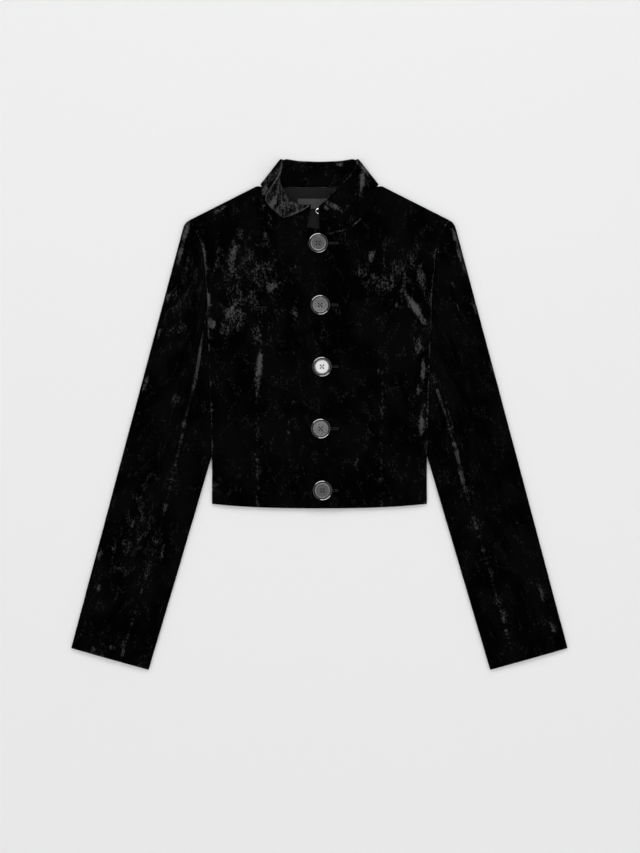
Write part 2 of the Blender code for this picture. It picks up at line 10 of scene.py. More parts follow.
import bpy
import numpy as np
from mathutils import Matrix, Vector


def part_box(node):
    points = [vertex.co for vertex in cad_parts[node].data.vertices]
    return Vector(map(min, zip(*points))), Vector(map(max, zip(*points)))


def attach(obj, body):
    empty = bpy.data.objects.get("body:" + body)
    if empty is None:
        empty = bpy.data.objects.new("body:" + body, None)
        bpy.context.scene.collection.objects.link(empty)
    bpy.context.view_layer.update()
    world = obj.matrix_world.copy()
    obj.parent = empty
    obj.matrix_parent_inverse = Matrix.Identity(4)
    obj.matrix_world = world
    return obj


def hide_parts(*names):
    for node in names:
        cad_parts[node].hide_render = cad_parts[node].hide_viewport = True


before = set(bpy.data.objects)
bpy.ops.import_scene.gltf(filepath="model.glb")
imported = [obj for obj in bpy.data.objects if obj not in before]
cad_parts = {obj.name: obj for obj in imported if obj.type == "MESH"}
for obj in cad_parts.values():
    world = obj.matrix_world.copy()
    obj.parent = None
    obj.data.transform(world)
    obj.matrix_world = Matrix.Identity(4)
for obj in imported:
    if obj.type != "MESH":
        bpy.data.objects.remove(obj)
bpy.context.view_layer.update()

bl_info = {
    "name": "Crushed Velvet Jacket",
    "version": (1, 0, 0),
    "blender": (4, 5, 0),
    "location": "View3D > Sidebar > Jacket",
    "description": "Dresses the packed jacket in crushed velvet and lays it on a pale table",
    "category": "Object",
}

# A millimetre in metres: the tables of folds, creases and painted nap sheen are in mm
MM = 0.001

# Cloth
CLOTH = 0.0018
COLLAR_CLOTH = 0.0024
FACING_CLOTH = 0.0010
GAP = 0.0003
SEAM_CLEAR = 0.0006
COLLAR_CLEAR = 0.0009

# Body, seen from above; the two halves share one outline
SHOULDER_X = 0.1840
SHOULDER_Y = 0.2745
NECK_X = 0.0890
NECK_Y = 0.3225
BACK_NECK_Y = 0.3205
BACK_NECK_BEND = 8.0
HEM_Y = -0.1330
HEM_SIDE_Y = -0.1267
HEM_BEND = 2.6
OVERLAP = 0.0170
BACK_HEM_SHORT = 0.0010
BACK_SEAM_REACH = 0.0007
ARMHOLE_REACH = 0.0005
ARMHOLE_FOOT = (0.1200, 0.1300)

# Height on the jacket, half width of the body there
SIDE_LINE = (
    (-0.1330, 0.1520),
    (-0.0600, 0.1520),
    (0.0500, 0.1550),
    (0.1250, 0.1575),
    (0.1650, 0.1585),
    (0.2000, 0.1610),
    (0.2380, 0.1665),
    (0.2570, 0.1735),
    (0.2745, 0.1840),
    (0.3000, 0.2010),
)

# Distance out from the centre line, height of the neck seam there
NECK_LINE = (
    (-0.0170, 0.2645),
    (0.0000, 0.2612),
    (0.0136, 0.2580),
    (0.0300, 0.2615),
    (0.0434, 0.2670),
    (0.0576, 0.2780),
    (0.0690, 0.2915),
    (0.0770, 0.3030),
    (0.0830, 0.3130),
    (0.0890, 0.3225),
)

# How high the fronts lie
FRONT_LAY = 0.0070
SEAM_LAY = 0.0040
SHOULDER_ROLL = 0.0070
SIDE_ROLL = 0.0080
OVERLAP_RAMP = (0.0200, 0.0400)
TUCK_RISE = 0.0019
TUCK_IN = (0.0800, 0.1050)
TUCK_FOOT = (-0.0850, -0.0600)
TUCK_HEAD = (0.1300, 0.1700)

# Waist darts: share of the front's width, height of the point, groove
DART_SHARE = 0.62
DART_TOP = 0.0700
DART_FADE = 0.0300
DART_DEPTH = 0.0008
DART_WIDTH = 0.0022
# Painted highlight along the dart: height over which it fades at the point, and how far it is moved off there
DART_HIGHLIGHT_END = 0.0100
DART_HIGHLIGHT_CLEAR = 0.0200

# Largest folds of the fronts, in mm: start x and y, end x and y, half width, height
FOLDS = (
    (123, 170, 150, 128, 6, 1.6),
    (98, 205, 142, 185, 9, 1),
    (-152, 136, -130, 105, 6, 1.4),
    (-84, 106, -85, 35, 5, 1.1),
    (-50, 235, -105, 200, 10, 1),
)

# Smaller creases of the fronts and sleeves, in mm, same columns; a negative height is a trough
FRONT_CREASES = (
    (-118, 256, -128, 205, 6, 0.7),
    (-60, 210, -96, 170, 5, -0.6),
    (-123, 162, -118, 120, 7, 0.7),
    (-30, 156, -62, 134, 6, 0.5),
    (-40, 20, -45, -40, 4, 0.6),
    (-120, 10, -115, -70, 8, -0.5),
    (-62, -45, -70, -105, 6, 0.4),
    (56, 230, 90, 185, 6, 0.7),
    (126, 235, 140, 190, 6, 0.8),
    (40, 154, 80, 138, 6, 0.5),
    (133, 105, 142, 50, 6, 0.8),
    (132, 35, 142, -20, 6, 0.7),
    (64, 60, 58, -20, 8, -0.5),
    (52, -45, 50, -90, 5, 0.4),
    (108, -20, 112, -95, 7, 0.4),
)
SLEEVE_CREASES = (
    (-202, 220, -188, 160, 6, 0.8),
    (-225, 110, -190, 70, 7, 0.7),
    (-248, 25, -205, -10, 8, 0.8),
    (-262, -35, -215, -40, 6, -0.5),
    (-270, -100, -248, -160, 7, 0.6),
    (-300, -180, -260, -205, 7, 0.6),
    (-313, -230, -285, -280, 8, 0.6),
    (-235, -170, -226, -250, 5, 0.6),
    (193, 235, 201, 180, 6, 0.8),
    (225, 130, 188, 90, 8, 0.6),
    (248, 40, 215, 20, 7, -0.5),
    (180, 15, 208, -100, 6, 0.9),
    (275, -70, 295, -150, 7, 0.6),
    (240, -210, 262, -290, 6, 0.7),
    (305, -225, 328, -300, 6, 0.7),
)

# Sleeves, from the cuff up
CUFF_X = 0.2964
CUFF_Y = -0.3461
CUFF_HALF = 0.0572
SLEEVE_TILT = 15.7
SLEEVE_FLARE = 0.0133
CAP_CORNER_SHARE = 0.047
CAP_CORNER_DROP = 0.0100
CAP_TIP = 0.6270
UNDERARM_SHARE = 0.57
UNDERARM_TOP = 0.4600
SLEEVE_EDGE = 0.0052
SLEEVE_CROWN = 0.0020
TUCKED_SLEEVE = 0.0044
TUCKED_LIFT = 0.0021
TUCK_SPREAD = (0.0140, 0.0320)
CAP_BLEND = (0.1250, 0.1700)
BACK_SEAM_SHARE = 0.30

# Way up the sleeve, share of the sleeve's width where the front seam lies
FRONT_SEAM = {
    "left": ((0.0, 0.680), (0.3, 0.675), (0.5, 0.680), (0.7, 0.665), (0.85, 0.675), (1.0, 0.690)),
    "right": ((0.0, 0.634), (0.2, 0.646), (0.4, 0.655), (0.6, 0.622), (0.8, 0.580), (1.0, 0.490)),
}

# Collar sections: seam place out from the centre, heading towards the centre, stand, leaf, turn out, rise
COLLAR_LEFT = (
    (0.0000, 2.0, 0.0200, 0.0040, 0.0, 0.0020),
    (0.0136, 3.5, 0.0270, 0.0130, 30.0, 0.0024),
    (0.0300, 5.0, 0.0320, 0.0180, 15.0, 0.0040),
    (0.0434, 6.5, 0.0350, 0.0205, 0.0, 0.0045),
    (0.0576, 12.7, 0.0335, 0.0200, 0.0, 0.0045),
    (0.0690, 21.7, 0.0310, 0.0175, 0.0, 0.0042),
    (0.0770, 29.2, 0.0290, 0.0162, 0.0, 0.0034),
    (0.0825, 34.9, 0.0280, 0.0152, 0.0, 0.0022),
)
COLLAR_RIGHT = (
    (0.0195, 12.0, 0.0320, 0.0025, 80.0, 0.0020),
    (0.0290, 16.0, 0.0310, 0.0050, 150.0, 0.0020),
    (0.0410, 24.0, 0.0290, 0.0110, 180.0, 0.0020),
    (0.0530, 32.0, 0.0260, 0.0220, 184.0, 0.0020),
    (0.0620, 44.8, 0.0238, 0.0222, 184.0, 0.0020),
    (0.0715, 51.4, 0.0256, 0.0265, 184.0, 0.0022),
    (0.0785, 52.1, 0.0263, 0.0250, 165.0, 0.0025),
    (0.0825, 46.0, 0.0300, 0.0110, 85.0, 0.0030),
)
COLLAR_BACK = (
    (0.0700, 31.0, 0.0240, 0.0155),
    (0.0450, 20.5, 0.0210, 0.0120),
    (0.0200, 9.0, 0.0190, 0.0110),
    (0.0000, 0.0, 0.0185, 0.0106),
)
COLLAR_ROLL = 0.0022
COLLAR_LEAST_TURN = 0.01
COLLAR_SLOPE_STEP = 0.0005
COLLAR_SEAM_DROP = 0.0005
COLLAR_STAND_POINTS = 5
COLLAR_ROLL_POINTS = 4
COLLAR_LEAF_POINTS = 3
COLLAR_POINTS = COLLAR_STAND_POINTS + COLLAR_ROLL_POINTS + COLLAR_LEAF_POINTS
COLLAR_FINER = (3, 2)
SIDE_FOLD_SEAM = (0.0840, 0.3252)
SIDE_FOLD_TOP = (0.0560, 0.3605)
SIDE_FOLD_RADII = (0.0022, 0.0030)
SIDE_FOLD_BACK_RISE = 0.06
SIDE_FOLD_ANGLES = (90.0, 45.0, 0.0, -45.0, -90.0)

# Neck facing and label
FACING_HALF = 0.0760
FACING_LOW = 0.2500
FACING_BOW = 0.0300
LABEL_TURN_IN = 0.0045
LABEL_TURN_RISE = 0.0002
LABEL_TURN_END = 0.0054
LABEL_STITCH = 0.0026
LABEL_STITCH_INSET = 0.0016
LABEL_STITCH_POINTS = 9

# Painted sheen: where the nap is laid over its sheen is painted in grey, with painted highlights on fold
# ridges and along the edges; on the viewer's left and then on the right: middle x and y, half length and half
# width in mm, then lean to the right in degrees and strength
FRONT_NAP_SHEEN = (
    (-95, 195, 85, 60, 0, 0.36),
    (-122, 227, 30, 9, 14, 0.58),
    (-144.5, 219, 22, 7, 8, 0.42),
    (-163.5, 231, 29, 3, -5.3, 0.56),
    (-66, 181, 20, 14, -12, 0.6),
    (-39.3, 206.6, 10, 9, 0, 0.52),
    (-34.4, 140.6, 14, 10, 0, 0.4),
    (-122, 140, 30, 15, 8, 0.68),
    (-88.2, 118.5, 22, 11, -8, 0.48),
    (-156.7, 162.6, 16, 5, 0, 0.62),
    (-151, 128.4, 11, 6, -35, 0.7),
    (-93, 302, 6, 3, 0, 0.46),
    (-69.5, 277.5, 10, 8, -20, 0.58),
    (-76, 253, 10, 10, 0, 0.36),
    (-84.8, 69, 34, 4.5, 2.5, 0.88),
    (-43.5, -16.2, 14, 2.6, 2, 0.58),
    (-36, 16.3, 9, 3, 0, 0.4),
    (-145.7, -99.9, 4, 5, 0, 0.44),
    (-41.4, -107.5, 6, 5, 0, 0.34),
    (-138, 121, 16, 7, 10, 0.56),
    (-140, 289, 14, 4, 63, 0.64),
    (-124, 206, 12, 7, 5, 0.7),
    (-112, 253, 12, 6, 14, 0.54),
    (-80, 291, 8, 5, 30, 0.5),
    (100, 195, 65, 60, 0, 0.34),
    (73.2, 223.7, 12, 7, 10, 0.54),
    (28.4, 259, 19, 1.8, 74, 0.68),
    (51.7, 270.5, 14, 1.8, 50, 0.68),
    (61, 199.3, 9, 11, 20, 0.46),
    (79, 195, 14, 8, -30, 0.54),
    (145, 188, 22, 8, -6, 0.68),
    (130, 219, 13, 7, 0, 0.48),
    (134.5, 151, 34, 6, -34.5, 1),
    (108.7, 154, 5, 5, 0, 0.62),
    (46.2, 152.8, 7, 6, 0, 0.38),
    (139, 238.4, 14, 8, 0, 0.42),
    (140, 98, 16, 8, -4, 0.68),
    (146, 56, 38, 4.6, 0, 0.64),
    (144.5, -10, 34, 5.2, 2, 0.68),
    (141, 36, 14, 5.5, 0, 0.62),
    (52.1, -66.2, 13, 3, 0, 0.38),
    (92.3, -9.7, 4, 3, 0, 0.52),
    (82.5, 62, 6, 3, 0, 0.44),
    (41.2, -107.5, 8, 8, 0, 0.36),
    (100, -118.4, 8, 5, 0, 0.36),
)
SLEEVE_NAP_SHEEN = (
    (-189, 258, 18, 5, 14, 0.86),
    (-196.5, 228, 18, 4.5, 15.7, 0.72),
    (-187, 215, 18, 3.2, 6, 0.46),
    (-214, 164.3, 9, 3.6, 15.7, 0.64),
    (-226.7, 113.4, 14, 3.2, 15.7, 0.5),
    (-246.5, 42.8, 18, 3.6, 15.7, 0.54),
    (-170.5, 78, 58, 3, 9.2, 0.67),
    (-260, -170, 150, 40, 15.7, 0.29),
    (-195, 150, 120, 40, 12, 0.27),
    (-202.7, 22.9, 10, 7, 15.7, 0.5),
    (-191.8, -8.4, 20, 5, 15.7, 0.46),
    (-260, -118, 9, 11, 15.7, 0.38),
    (-263.8, -155, 9, 6, 15.7, 0.46),
    (-289.6, -193, 9, 8, 15.7, 0.5),
    (-311, -245, 10, 8, 30, 0.42),
    (-221.7, -195.8, 24, 3, 12, 0.44),
    (-227.1, -239.3, 14, 3, 12, 0.42),
    (-293.7, -328.9, 4, 8, 15.7, 0.58),
    (-278.8, -326.2, 12, 5, 15.7, 0.46),
    (-311, -200, 12, 4, 15.7, 0.6),
    (-320, -333, 10, 5, 15.7, 0.54),
    (-169, 254, 10, 5, 15, 0.46),
    (192.5, 247.5, 22, 3.2, -15.7, 0.68),
    (204.5, 208, 12, 2.8, -15.7, 0.5),
    (219, 152, 18, 3.2, -15.7, 0.66),
    (235, 98, 16, 2.4, -15.7, 0.54),
    (245, 61, 16, 2.2, -15.7, 0.52),
    (188.5, 184, 8, 2.2, -20, 0.54),
    (195.8, 150, 10, 2, -15, 0.44),
    (168, 233, 9, 3.2, -30, 0.44),
    (173.1, 14.3, 32, 2.2, -19.3, 0.58),
    (184, -3.8, 22, 4, -15.7, 0.56),
    (195, -57.8, 26, 4.4, -13, 0.62),
    (201.5, -91, 15, 4.6, -14, 0.8),
    (244.2, -225.8, 10, 4, -15.7, 0.54),
    (262, -285, 20, 5.5, -15.7, 0.42),
    (313.9, -254.3, 18, 4.2, -15.7, 0.52),
    (329.8, -301.9, 12, 5, -15.7, 0.48),
    (304.4, -149.7, 20, 2.8, -15.7, 0.5),
    (197.5, 226, 14, 4, -15.7, 0.72),
)
COLLAR_NAP_SHEEN = (
    (-70, 334, 16, 7, 38, 0.66),
    (-77, 316, 14, 5, 25, 0.84),
    (-66, 298, 9, 5, 30, 0.78),
    (20.5, 293.8, 16, 5.2, -63, 0.88),
    (40.6, 294, 6, 3, 90, 0.62),
    (60, 329, 24, 5, 4, 0.84),
    (62, 347, 13, 5.5, -35, 0.84),
    (9, 292, 6, 4, -63, 0.8),
    (30, 353, 8, 4, -80, 0.6),
)
# Painted sheen where no oval reaches, for the body, sleeves and collar, and more of it on the collar's turned
# leaf
NAP_SHEEN_REST = {"body": 0.165, "sleeve": 0.16, "collar": 0.18, "leaf": 0.50}
# Painted highlight along seams and edges: strength, width, and the size and levels of its breaks
SEAM_HIGHLIGHT = 0.37
SEAM_HIGHLIGHT_WIDTH = 0.0014
SEAM_BREAK_SIZE = (0.0040, 0.0120)
SEAM_BREAKS = (0.0, 0.40)

# Crushed relief: size across and along the nap, share of the depth
CRUSH_SIZES = (((0.0130, 0.0340), 0.50), ((0.0060, 0.0130), 0.32), ((0.0030, 0.0060), 0.18))

# Noise of the relief: turns across, along and for each seed, scale, and a seed for each piece or sleeve
HASH_TURNS = (127.1, 311.7, 74.7)
HASH_SCALE = 43758.5453
SEEDS = {"back": 9.0, "front_right": 1.0, "front_left": 2.0, "collar": 4.0, "left": 3.0, "right": 5.0}

# Where the texture of a piece starts, so that no two pieces share it
BACK_TEXTURE = 1.0
SLEEVE_TEXTURE = 2.0
COLLAR_TEXTURE = 7.0

# Grids
EDGE_STEPS = (0.0, 0.10, 0.32, 0.65)
FRONT_GRID = (190, 92)
BACK_GRID = (100, 100)
SLEEVE_ROWS = 270
SLEEVE_COLUMNS = {"top": (54, 20), "under": (30, 40)}
SLEEVE_FOLD_ANGLES = (80.0, -80.0, 13)
ARMHOLE_LENGTHS = (0.30, 0.70, 4001)
SLEEVE_SHARES = 601
FACING_GRID = (40, 90)
LABEL_GRID = (60, 80)
LEAST_EDGE = 0.14
STITCH_SIDES = 6
THREAD_SIDES = 8
BUTTONHOLE_SIDES = 7
EYE_SIDES = 14

# Buttons: distance from the centre and height, from under the plate round the rim to the top of the plate
BUTTON_PROFILE = (
    (0.0060, 0.0000),
    (0.0100, 0.0000),
    (0.0118, 0.0003),
    (0.0131, 0.0011),
    (0.0137, 0.0020),
    (0.0138, 0.0026),
    (0.0137, 0.0032),
    (0.0135, 0.0036),
    (0.0131, 0.0038),
    (0.0127, 0.0040),
    (0.0124, 0.0041),
    (0.0121, 0.0041),
    (0.0116, 0.0034),
    (0.0114, 0.0029),
    (0.0111, 0.00345),
    (0.0107, 0.00345),
    (0.0096, 0.00325),
    (0.0093, 0.0032),
    (0.0090, 0.0032),
    (0.0060, 0.0032),
)
BUTTON_RIM = (0.0111, 0.0114)
BUTTON_SIDES = 120
BUTTON_SHARP = 32.0
BUTTON_MERGE_DIGITS = 7
BUTTON_PLATE = 0.0060
BUTTON_PLATE_STEPS = 12
BUTTON_PLATE_RINGS = 8
BUTTON_HOLE_RADIUS = 0.0010
BUTTON_HOLE_PLACE = 0.0021
BUTTON_FACE = 0.0032
BUTTON_NODES = ("button_1", "button_2", "button_3", "button_4", "button_5")
THREAD = 0.0002
THREAD_STRANDS = (-0.0002, 0.0002)
THREAD_ARCH = 0.0004
THREAD_REACH = 0.0017
THREAD_DIP = 0.0018
THREAD_DIP_SHARE = 0.86
THREAD_POINTS = 25

# Buttonholes
BUTTONHOLE_LEFT = -0.0050
BUTTONHOLE_RIGHT = 0.0262
BUTTONHOLE_HALF = 0.0011
BUTTONHOLE_BEAD = 0.00055
BUTTONHOLE_HIDDEN_BEAD = 0.00012
BUTTONHOLE_STITCH = 0.0009
BUTTONHOLE_RIDGE = 0.25
BUTTONHOLE_SHOWN = (0.85, 1.05)
BUTTONHOLE_POINTS = 520

# Metal eye
EYE_WIRE = 0.0005
EYE_POINTS = 48

# Photo's view: size of the frame on the table and its middle
VIEW_HEIGHT = 1.2053
VIEW_MIDDLE = (0.0008, -0.0173)
SENSOR = 36.0
VIEW_END = 50.0

# Table top: half width and level, just under the cloth
TABLE_REACH = 8.0
TABLE_LEVEL = -0.0002

# Lights: name, place, width and depth, setting with its power, whether it lights cloth
LIGHTS = (
    ("key_light", (0.0, 1.8, 2.2), (1.2, 1.2), "key", True),
    ("upper_strip", (-0.68, 1.88, 1.50), (2.4, 1.1), "strips", False),
    ("lower_strip", (0.68, -1.88, 1.50), (2.4, 1.1), "strips", False),
    ("button_light", (0.009, 0.236, 6.0), (0.26, 0.26), "spot", True),
)

# Sky: share of its strength near the table, heights over which it rises and then drops overhead, backdrop
SKY_LOW = 0.25
SKY_RISE = (0.28, 0.62)
SKY_OVERHEAD = (0.930, 0.988)
BACKDROP = 0.84

# Crushed pile, whose grey specks are painted sheen: draw along the nap; each layer's noise with scale,
# detail, roughness, distortion, low, high
PILE_DRAW = (1.0, 0.64, 1.0)
PILE_NOISE = {
    "slow": (22.0, 2.0, 0.5, 0.2, 0.35, 0.65),
    "clump": (80.0, 4.0, 0.60, 0.5, 0.36, 0.66),
    "tuft": (400.0, 4.0, 0.65, 0.2, 0.34, 0.66),
    "grain": (1150.0, 2.0, 0.5, 0.0, 0.30, 0.70),
}
SPECK_SHARES = {"clump": 0.36, "tuft": 0.38, "grain": 0.26}
SPECK_LIMIT = 0.92
SPECK_NAP = 1.2
SPECK_SOFT = 0.62
PILE_RELIEF = {"clump": 0.6, "tuft": 0.4}
PILE_ROUGHNESS = (0.92, 0.60)
PILE_BUMP = (0.6, 0.0007)
SHEEN = {"Sheen Roughness": 0.4, "Sheen Tint": (0.6, 0.6, 0.62, 1.0)}

# Woven cloth: waver and detail of the threads, noise of the tone, bump; then threads, roughness and tones
WEAVE_WAVES = {"Distortion": 0.4, "Detail": 1.0}
WEAVE_NOISE = (120.0, 3.0, 0.6, 0.2)
WEAVE_SHARES = {"threads": 0.5, "tone": 0.5}
WEAVE_GLOSS = 0.03
WEAVE_BUMP = (0.4, 0.0002)
LINING_WEAVE = (700.0, 0.42)
LINING_DARK = 0.7
LABEL_WEAVE = (420.0, 0.6)
LABEL_DARK = 0.75
LABEL_LIGHT = 1.15

# Metal, thread and table: noise or wave, roughness and darker tone
METAL_NOISE = (900.0, 5.0, 0.65, 0.0)
METAL_ROUGHNESS = (0.05, 0.14)
BUTTON_DARK = 0.85
EYE_DARK = 0.8
THREAD_PLIES = {"Scale": 900.0, "Distortion": 1.0}
THREAD_SHINE = {"Roughness": 0.55, "Specular IOR Level": 0.15}
THREAD_DARK = 0.5
THREAD_BUMP = (0.3, 0.0001)
TABLE_SHINE = {"Roughness": 0.9, "Specular IOR Level": 0.05}
TABLE_NOISE = (1.5, 2.0, 0.5, 0.0)
TABLE_DARK = 0.995


def ramp(value, start, end):
    """A soft step from 0 at start to 1 at end."""
    share = np.clip((value - start) / (end - start), 0.0, 1.0)
    return share * share * (3.0 - 2.0 * share)


def smooth(table, at):
    """A smooth curve through a table's rows: cubic pieces with slopes taken from the neighbouring rows."""
    keys, values = np.array(table).T
    slopes = np.gradient(values, keys)
    low = np.clip(np.searchsorted(keys, at) - 1, 0, len(keys) - 2)
    step = keys[low + 1] - keys[low]
    share = np.clip((at - keys[low]) / step, 0.0, 1.0)
    rest = 1.0 - share
    start = values[low] * (1.0 + 2.0 * share) * rest**2 + slopes[low] * step * share * rest**2
    end = values[low + 1] * (1.0 + 2.0 * rest) * share**2 - slopes[low + 1] * step * rest * share**2
    return start + end


def points(x, y, z):
    """One array of points from three coordinates of any matching shapes."""
    return np.stack(np.broadcast_arrays(x, y, z), axis=-1)


def hashed(across, along, seed):
    """A fixed value from 0 to 1 for each crossing of a lattice: the fraction of a large sine."""
    turn_across, turn_along, turn_seed = HASH_TURNS
    value = np.sin(across * turn_across + along * turn_along + seed * turn_seed) * HASH_SCALE
    return value - np.floor(value)


def cloud(across, along, seed):
    """Value noise: the values at the four nearest crossings of a lattice, blended by soft steps."""
    left = np.floor(across)
    low = np.floor(along)
    right_share = ramp(across - left, 0.0, 1.0)
    high_share = ramp(along - low, 0.0, 1.0)
    rows = []
    for row in (low, low + 1.0):
        start = hashed(left, row, seed)
        end = hashed(left + 1.0, row, seed)
        rows.append(start * (1.0 - right_share) + end * right_share)
    lower, upper = rows
    return lower * (1.0 - high_share) + upper * high_share


def crush(across, along, seed):
    """How far the pile is crushed down, from 0 to 1: noise of three sizes, drawn out along the nap."""
    total = 0.0
    for (width, length), share in CRUSH_SIZES:
        total = total + share * cloud(across / width, along / length, seed)
    return total


def fold_height(x, y, table):
    """Sum of the soft ridges and troughs along the lines of a table, each a bell across its line."""
    total = np.zeros(np.broadcast(x, y).shape)
    for row in table:
        start_x, start_y, end_x, end_y, half_width, height = MM * np.array(row)
        run_x = end_x - start_x
        run_y = end_y - start_y
        along = ((x - start_x) * run_x + (y - start_y) * run_y) / (run_x**2 + run_y**2)
        along = np.clip(along, 0.0, 1.0)
        away = np.hypot(x - start_x - along * run_x, y - start_y - along * run_y)
        total = total + height * np.exp(-((away / half_width) ** 2))
    return total


def laid_nap_sheen(x, y, table):
    """How much sheen is painted where the nap is laid over: the strongest of a table's soft ovals at each
    point.
    """
    most = np.zeros(np.broadcast(x, y).shape)
    for *sizes, lean, strength in table:
        middle_x, middle_y, half_length, half_width = MM * np.array(sizes)
        angle = math.radians(lean)
        along = (x - middle_x) * math.sin(angle) + (y - middle_y) * math.cos(angle)
        across = (x - middle_x) * math.cos(angle) - (y - middle_y) * math.sin(angle)
        most = np.maximum(most, strength * np.exp(-((along / half_length) ** 2) - (across / half_width) ** 2))
    return most


def edged(count, start_edge, end_edge):
    """Even steps from 0 to 1, with extra ones within start_edge and end_edge of the ends."""
    steps = np.array(EDGE_STEPS)
    inner = np.linspace(start_edge, 1.0 - end_edge, count)
    start = start_edge * steps if start_edge else inner[:0]
    end = 1.0 - end_edge * steps[::-1] if end_edge else inner[:0]
    return np.concatenate([start, inner, end])


def runs(grid, axis):
    """Length along a grid's rows or columns, from its start to each point."""
    steps = np.linalg.norm(np.diff(grid, axis=axis), axis=2)
    return np.concatenate([np.zeros_like(np.take(steps, [0], axis)), np.cumsum(steps, axis)], axis)


def border_distance(grid):
    """Distance of each point from the nearest border, measured along its row and its column."""
    nearest = []
    for axis in (0, 1):
        run = runs(grid, axis)
        nearest.append(np.minimum(run, np.take(run, [-1], axis) - run))
    return np.minimum(*nearest)


def cut_size(grid):
    """Flat cut of a grid's cloth: its widest row, its longest column and its area.

    Rows count square to the line from the first row to the last, except on a band that runs round.
    """
    length = float(runs(grid, 0)[-1].max())
    across = np.diff(grid, axis=1)
    along = grid[-1].mean(axis=0) - grid[0].mean(axis=0)
    reach = np.linalg.norm(along)
    if reach > length / 2.0:
        along = along / reach
        across = across - (across @ along)[..., None] * along
    width = float(np.linalg.norm(across, axis=2).sum(axis=1).max())
    first = grid[1:, 1:] - grid[:-1, :-1]
    second = grid[1:, :-1] - grid[:-1, 1:]
    area = float(np.linalg.norm(np.cross(first, second), axis=2).sum()) / 2.0
    return width, length, area


def put_mesh(name, corners, faces, material, body="root"):
    """A smooth mesh from arrays of points and faces, turned so that its volume is positive."""
    corners = np.asarray(corners)
    volume = 0.0
    for group in faces:
        for step in range(1, group.shape[1] - 1):
            one, two, three = corners[group[:, 0]], corners[group[:, step]], corners[group[:, step + 1]]
            volume += float(np.einsum("ij,ij->i", one, np.cross(two, three)).sum())
    turned = [group if volume > 0.0 else group[:, ::-1] for group in faces]
    mesh = bpy.data.meshes.new(name)
    mesh.from_pydata(corners.tolist(), [], [face for group in turned for face in group.tolist()])
    mesh.materials.append(material)
    mesh.shade_smooth()
    piece = bpy.data.objects.new(name, mesh)
    bpy.context.scene.collection.objects.link(piece)
    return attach(piece, body)


def put_cloth(name, node, outer, inner, uv, nap, material):
    """A closed cloth shell with a rounded border, its weave directions as a UV map and its painted nap sheen
    as a value.
    """
    middle = (outer + inner) / 2.0
    half = (outer - inner) / 2.0
    reach = np.linalg.norm(half, axis=2)
    share = np.clip(border_distance(middle) / reach, 0.0, 1.0)
    taper = np.maximum(np.sqrt(1.0 - (1.0 - share) ** 2), LEAST_EDGE)[..., None]
    rows, columns = outer.shape[:2]
    count = rows * columns
    index = np.arange(count).reshape(rows, columns)
    quads = np.stack([index[:-1, :-1], index[1:, :-1], index[1:, 1:], index[:-1, 1:]], axis=-1)
    quads = quads.reshape(-1, 4)
    border = np.concatenate([index[0, :-1], index[:-1, -1], index[-1, :0:-1], index[:0:-1, 0]])
    following = np.roll(border, -1)
    rim = np.stack([border, following, following + count, border + count], axis=-1)
    corners = np.concatenate([(middle + half * taper).reshape(-1, 3), (middle - half * taper).reshape(-1, 3)])
    piece = put_mesh(name, corners, [quads, quads[:, ::-1] + count, rim], material)
    mesh = piece.data
    corner_of = np.empty(len(mesh.loops), dtype=np.int32)
    mesh.loops.foreach_get("vertex_index", corner_of)
    spread = np.concatenate([uv.reshape(-1, 2)] * 2)
    mesh.uv_layers.new(name="cloth").data.foreach_set("uv", spread[corner_of].ravel())
    values = np.concatenate([nap.ravel()] * 2).astype(np.float32)
    mesh.attributes.new("nap", "FLOAT", "POINT").data.foreach_set("value", values)
    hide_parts(node)
    width, length, area = cut_size(middle)
    return piece


def put_tubes(name, paths, radii, sides, material, closed):
    """Round tubes along paths: a circle across each path's tangent, its ends closed unless the path is."""
    corners = []
    quads = []
    caps = []
    start = 0
    angle = np.linspace(0.0, 2.0 * math.pi, sides, endpoint=False)
    for path, radius in zip(paths, radii):
        if closed:
            tangent = np.roll(path, -1, axis=0) - np.roll(path, 1, axis=0)
        else:
            tangent = np.gradient(path, axis=0)
        tangent = tangent / np.linalg.norm(tangent, axis=1, keepdims=True)
        beside = np.cross(tangent, np.array([0.0, 0.0, 1.0]))
        beside = beside / np.linalg.norm(beside, axis=1, keepdims=True)
        above = np.cross(beside, tangent)
        radius = np.broadcast_to(radius, len(path))[:, None, None]
        level = np.cos(angle)[None, :, None] * beside[:, None, :]
        upright = np.sin(angle)[None, :, None] * above[:, None, :]
        corners.append((path[:, None, :] + radius * (level + upright)).reshape(-1, 3))
        index = start + np.arange(len(path) * sides).reshape(len(path), sides)
        around = np.roll(index, -1, axis=1)
        onward = np.roll(index, -1, axis=0)
        quad = np.stack([index, onward, np.roll(onward, -1, axis=1), around], axis=-1)
        quads.append((quad if closed else quad[:-1]).reshape(-1, 4))
        if not closed:
            caps += [index[0][None, :], index[-1][None, ::-1]]
        start += len(path) * sides
    return put_mesh(name, np.concatenate(corners), [np.concatenate(quads)] + caps, material)


def body_edge(y):
    """Half width of a body panel at a height, no wider than the shoulders."""
    return np.minimum(smooth(SIDE_LINE, y), SHOULDER_X)


def shoulder_line(out):
    """Height of the straight shoulder seam at a distance out from the centre."""
    return NECK_Y + (out - NECK_X) * (SHOULDER_Y - NECK_Y) / (SHOULDER_X - NECK_X)


def back_neck_line(out):
    """The back neck edge's shallow curve, lowest at the centre."""
    return BACK_NECK_Y + (NECK_Y - BACK_NECK_Y) * np.abs(out / NECK_X) ** BACK_NECK_BEND


def hem_line(out):
    """The hem's shallow curve, lowest at the centre."""
    return HEM_Y + (HEM_SIDE_Y - HEM_Y) * np.abs(out / body_edge(HEM_Y)) ** HEM_BEND


